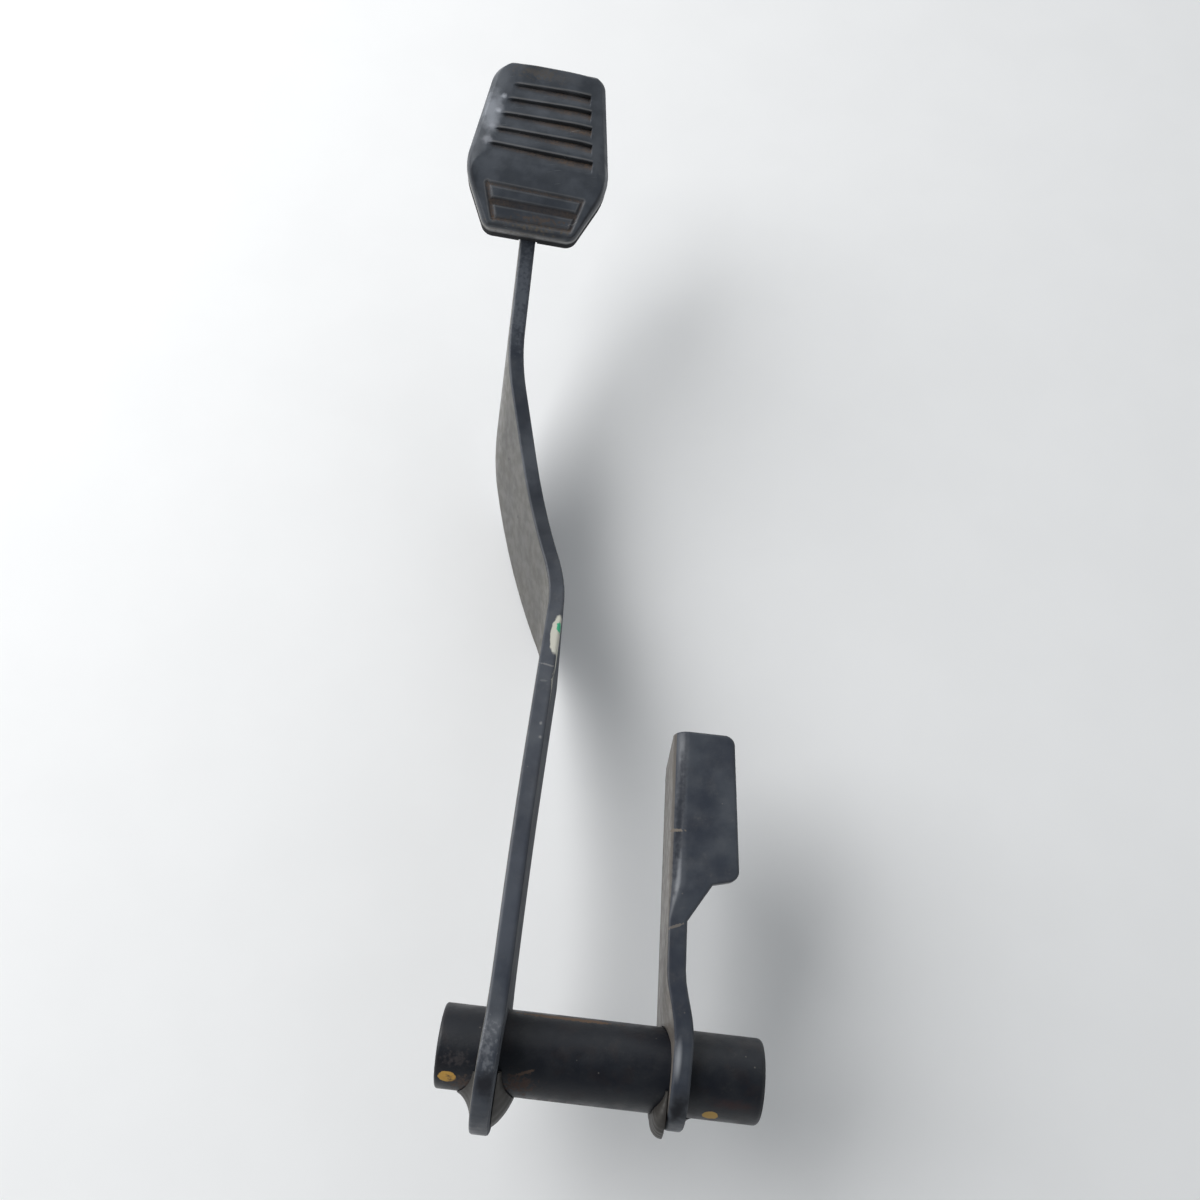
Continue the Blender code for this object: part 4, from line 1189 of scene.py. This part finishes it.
RUBBER_MARKS = (
    # Painted highlights on the polished left flank and at the louvres' left ends; low roughness where it is
    # polished.
    Mark(on_pad(-19, 22, 9), (5, 14, 6), (0.240, 0.256, 0.285), SOFT, 0.85, 0.34, front=True),
    Mark(on_pad(-16.4, 23, 9.5), (2.4, 2.6, 3), (0.26, 0.27, 0.30), SOFT, 0.45, 0.34),
    Mark(on_pad(-15.4, 28.2, 10), (1.7, 1.4, 3), (0.40, 0.42, 0.46), SOFT, 0.75, 0.30),
    Mark(on_pad(-17, 22, 10), (1.9, 1.4, 3), (0.40, 0.42, 0.46), SOFT, 0.75, 0.30),
    Mark(on_pad(-18.7, 15.6, 10), (1.6, 1.3, 3), (0.34, 0.36, 0.40), SOFT, 0.6, 0.30),
    Mark(on_pad(-18.2, 16, 9.5), (3.6, 3, 3), (0.25, 0.26, 0.29), SOFT, 0.6, 0.34, front=True),
    Mark(on_pad(-19.6, 9.6, 10), (3.2, 2.6, 3), (0.27, 0.28, 0.31), SOFT, 0.6, 0.30),
    Mark(on_pad(-17, 35, 8), (4.5, 6, 4), (0.10, 0.11, 0.125), SOFT, 0.6, 0.36, front=True),
    # Painted shade on the lower left flank.
    Mark(on_pad(-25, -5, 8), (6, 14, 7), (0.010, 0.012, 0.018), SOFT, 0.95, 0.6, front=True),
    # Painted light on the right margin and along the top, and painted shade over the lower tread.
    Mark(on_pad(22.5, 16, 8), (4, 24, 6), (0.075, 0.083, 0.096), SOFT, 0.7, 0.5, front=True),
    Mark(on_pad(4, 38.6, 9), (15, 3.6, 4), (0.078, 0.082, 0.090), SOFT, 0.6, 0.5, front=True),
    Mark(on_pad(0, -14, 8), (22, 11, 7), (0.022, 0.027, 0.036), SOFT, 0.55, 0.6, front=True),
    Mark(on_pad(-3, 39, 9), (12, 3.4, 4), (0.085, 0.070, 0.055), SPECKLED, 0.5, 0.8),
    Mark(on_pad(0, -22.3, 7), (17, 1.7, 4), (0.105, 0.085, 0.062), SPECKLED, 0.75, 0.85),
    Mark(on_pad(4, -18.6, 8.5), (13, 1.5, 4), (0.085, 0.060, 0.045), SPECKLED, 0.7, 0.85),
    Mark(on_pad(14, 19, 11), (4, 0.25, 3), (0.17, 0.16, 0.15), RAGGED, 0.6, 0.7, (0, 0, 0.5)),
    Mark(on_pad(16.5, -18.5, 8), (2.4, 0.25, 3), (0.20, 0.20, 0.20), RAGGED, 0.6, 0.7, (0, 0, 0.5)),
)
FINISHES = (
    (PaintFinish("painted_steel", marks=ARM_MARKS), ("pedal_arm",)),
    (PaintFinish("painted_tube", (0.0060, 0.0076, 0.0125), (0.0095, 0.0118, 0.0165),
                 rust=(0.026, 0.014, 0.011), dust_share=0.04, rust_share=0.16, edge_share=0.05, left_dust_and_light_share=0.0,
                 gloss_low=0.34, shine=0.36, marks=TUBE_MARKS), ("cross_tube",)),
    (PaintFinish("painted_lever", left_dust_and_light=(0.158, 0.138, 0.116), marks=LEVER_MARKS), ("side_lever",)),
    # The welds' near-black colour is dark rusty paint, darkened further as painted shade for the corners
    # between the tube and the plates.
    (PaintFinish("painted_weld", (0.004, 0.003, 0.004), (0.009, 0.005, 0.005), rust=(0.024, 0.012, 0.009),
                 dust_share=0.05, rust_share=0.55, left_dust_and_light_share=0.0, edge_share=0.0,
                 gloss_low=0.40, gloss_high=0.62, shine=0.05),
     tuple(f"{plate}_weld_{side}" for plate in ("arm", "lever", "pad") for side in ("left", "right"))),
    (PaintFinish("painted_plate", dust_share=0.3, rust_share=0.5), ("pad_plate",)),
    (TurnedSteelFinish(), ("pivot_sleeve",)),
    (NylonFinish(), ("pivot_bush_left", "pivot_bush_right")),
    (RubberFinish("rubber_solid"), ("pad_rubber",)),
)

ARM_LEAN = math.tan(math.radians(2.2))
WELD_BEADS = (
    WeldBead("arm_weld_left", -36.2, -1, 6.0, 1.50, 0.36, 1.30, 3.30, ARM_LEAN),
    WeldBead("arm_weld_right", -30.2, 1, 5.6, 1.60, 0.58, 1.25, 3.30, ARM_LEAN),
    WeldBead("lever_weld_left", 21.3, -1, 4.2, 1.50, 0.74, 1.25, 2.60),
    WeldBead("lever_weld_right", 27.3, 1, 3.8, 1.00, 0.36, 1.90, 2.80),
)


@dataclass
class Pedal:
    """The whole pedal: the frame's own solids with their finishes, and the pieces that stand for some."""

    nodes: dict[str, bpy.types.Object]

    def dress_all(self) -> None:
        """Give every solid its finish."""
        for finish, names in FINISHES:
            material = finish.build()
            for name in names:
                dress(self.nodes[name], material)
                LOG.info("%s wears %s", name, material.name)

    def build_cover(self) -> None:
        """Model the rubber cover in place of its solid."""
        cover = PadCover().build(RubberFinish(marks=RUBBER_MARKS).build())
        self._stand_for(cover, "pad_rubber")

    def build_tube(self) -> None:
        """Model the cross tube and its four weld beads in place of their solids."""
        tube = TubeShell().build(bpy.data.materials["painted_tube"])
        self._stand_for(tube, "cross_tube")
        for bead in WELD_BEADS:
            self._stand_for(bead.build(bpy.data.materials["painted_weld"]), bead.node)

    def _stand_for(self, piece: bpy.types.Object, node: str) -> None:
        """Let a piece ride on the pedal in place of a solid.

        Args:
            piece: The finished piece.
            node: The solid's node.
        """
        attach(piece, "pedal")
        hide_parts(node)
        LOG.info("%s has %d faces and stands for %s", piece.name, len(piece.data.polygons), node)


@dataclass
class Studio:
    """A pale sheet and sky, a soft key light from the left, a weak fill from the far end, and the camera."""

    sheet_size: float = 8.0
    sheet_gap: float = 0.0004
    sheet_cells: int = 8
    lamps: tuple[tuple[str, Triple, float, float], ...] = (
        ("key", (-1.05, 0.50, 0.80), 1.2, 19.0),
        ("fill", (0.35, 1.60, 0.90), 1.4, 2.5),
    )
    aim: Triple = (-0.03, 0.16, 0.0)
    lens: float = 33.0
    sensor: float = 36.0
    nearest: float = 0.01
    place: Triple = (-0.01137, 0.01752, 0.37559)
    right: Triple = (0.99371, 0.10916, 0.02500)
    up: Triple = (-0.11111, 0.93324, 0.34164)
    sky_colour: Triple = (0.93, 0.97, 1.0)
    dim_way: Triple = (0.0, -0.24, 0.97)
    dim_step: Span = (0.35, 0.97)
    sky_side: float = 0.66
    sky_top: float = 0.14

    def build(self) -> None:
        """Add the sheet, the lights and the camera."""
        self._sheet()
        self._sky()
        for lamp in self.lamps:
            self._lamp(*lamp)
        self._camera()

    def _sheet(self) -> None:
        """Lay the sheet under the pedal."""
        deselect()
        bpy.ops.mesh.primitive_grid_add(x_subdivisions=self.sheet_cells, y_subdivisions=self.sheet_cells,
                                        size=self.sheet_size,
                                        location=(0.0, 0.0, CAD_BOX[0].z - self.sheet_gap))
        sheet = bpy.context.object
        sheet.name = "studio_sheet"
        dress(sheet, FloorFinish().build())

    def _sky(self) -> None:
        """A pale world, dimmer overhead where the photographer stood."""
        world = bpy.data.worlds.new("studio")
        bpy.context.scene.world = world
        world.use_nodes = True
        nodes = Nodes(world.node_tree)
        toward = nodes.dot(nodes.add("ShaderNodeTexCoord", {}, "Generated"), self.dim_way)
        background = nodes.tree.nodes["Background"].inputs
        nodes.feed(background["Color"], self.sky_colour)
        nodes.feed(background["Strength"], nodes.span(toward, *self.dim_step, self.sky_side, self.sky_top))

    def _lamp(self, name: str, place: Triple, size: float, power: float) -> None:
        """Add a square soft light that points at the pedal.

        Args:
            name: Its name.
            place: Its place in metres.
            size: Its side in metres.
            power: Its power in watts.
        """
        light = bpy.data.lights.new(name, "AREA")
        light.shape, light.size, light.energy = "SQUARE", size, power
        lamp = bpy.data.objects.new(name, light)
        lamp.location = place
        lamp.rotation_euler = (Vector(self.aim) - Vector(place)).to_track_quat("-Z", "Y").to_euler()
        bpy.context.scene.collection.objects.link(lamp)

    def _camera(self) -> None:
        """Set the camera where the photograph was taken."""
        view = bpy.data.cameras.new("camera")
        view.lens, view.sensor_width, view.clip_start = self.lens, self.sensor, self.nearest
        camera = bpy.data.objects.new("camera", view)
        right = Vector(self.right).normalized()
        up = (Vector(self.up) - right * right.dot(Vector(self.up))).normalized()
        turn = Matrix((right, up, right.cross(up))).transposed()
        camera.matrix_world = Matrix.Translation(Vector(self.place)) @ turn.to_4x4()
        bpy.context.scene.collection.objects.link(camera)
        bpy.context.scene.camera = camera


def main() -> None:
    """Build the pedal's pieces and the studio, and report each."""
    logging.basicConfig(level=logging.INFO, format="%(message)s")
    bpy.context.scene.view_settings.view_transform = "Standard"
    pedal = Pedal(frame["nodes"])
    pedal.dress_all()
    pedal.build_cover()
    pedal.build_tube()
    Studio().build()


if __name__ == "__main__":
    main()
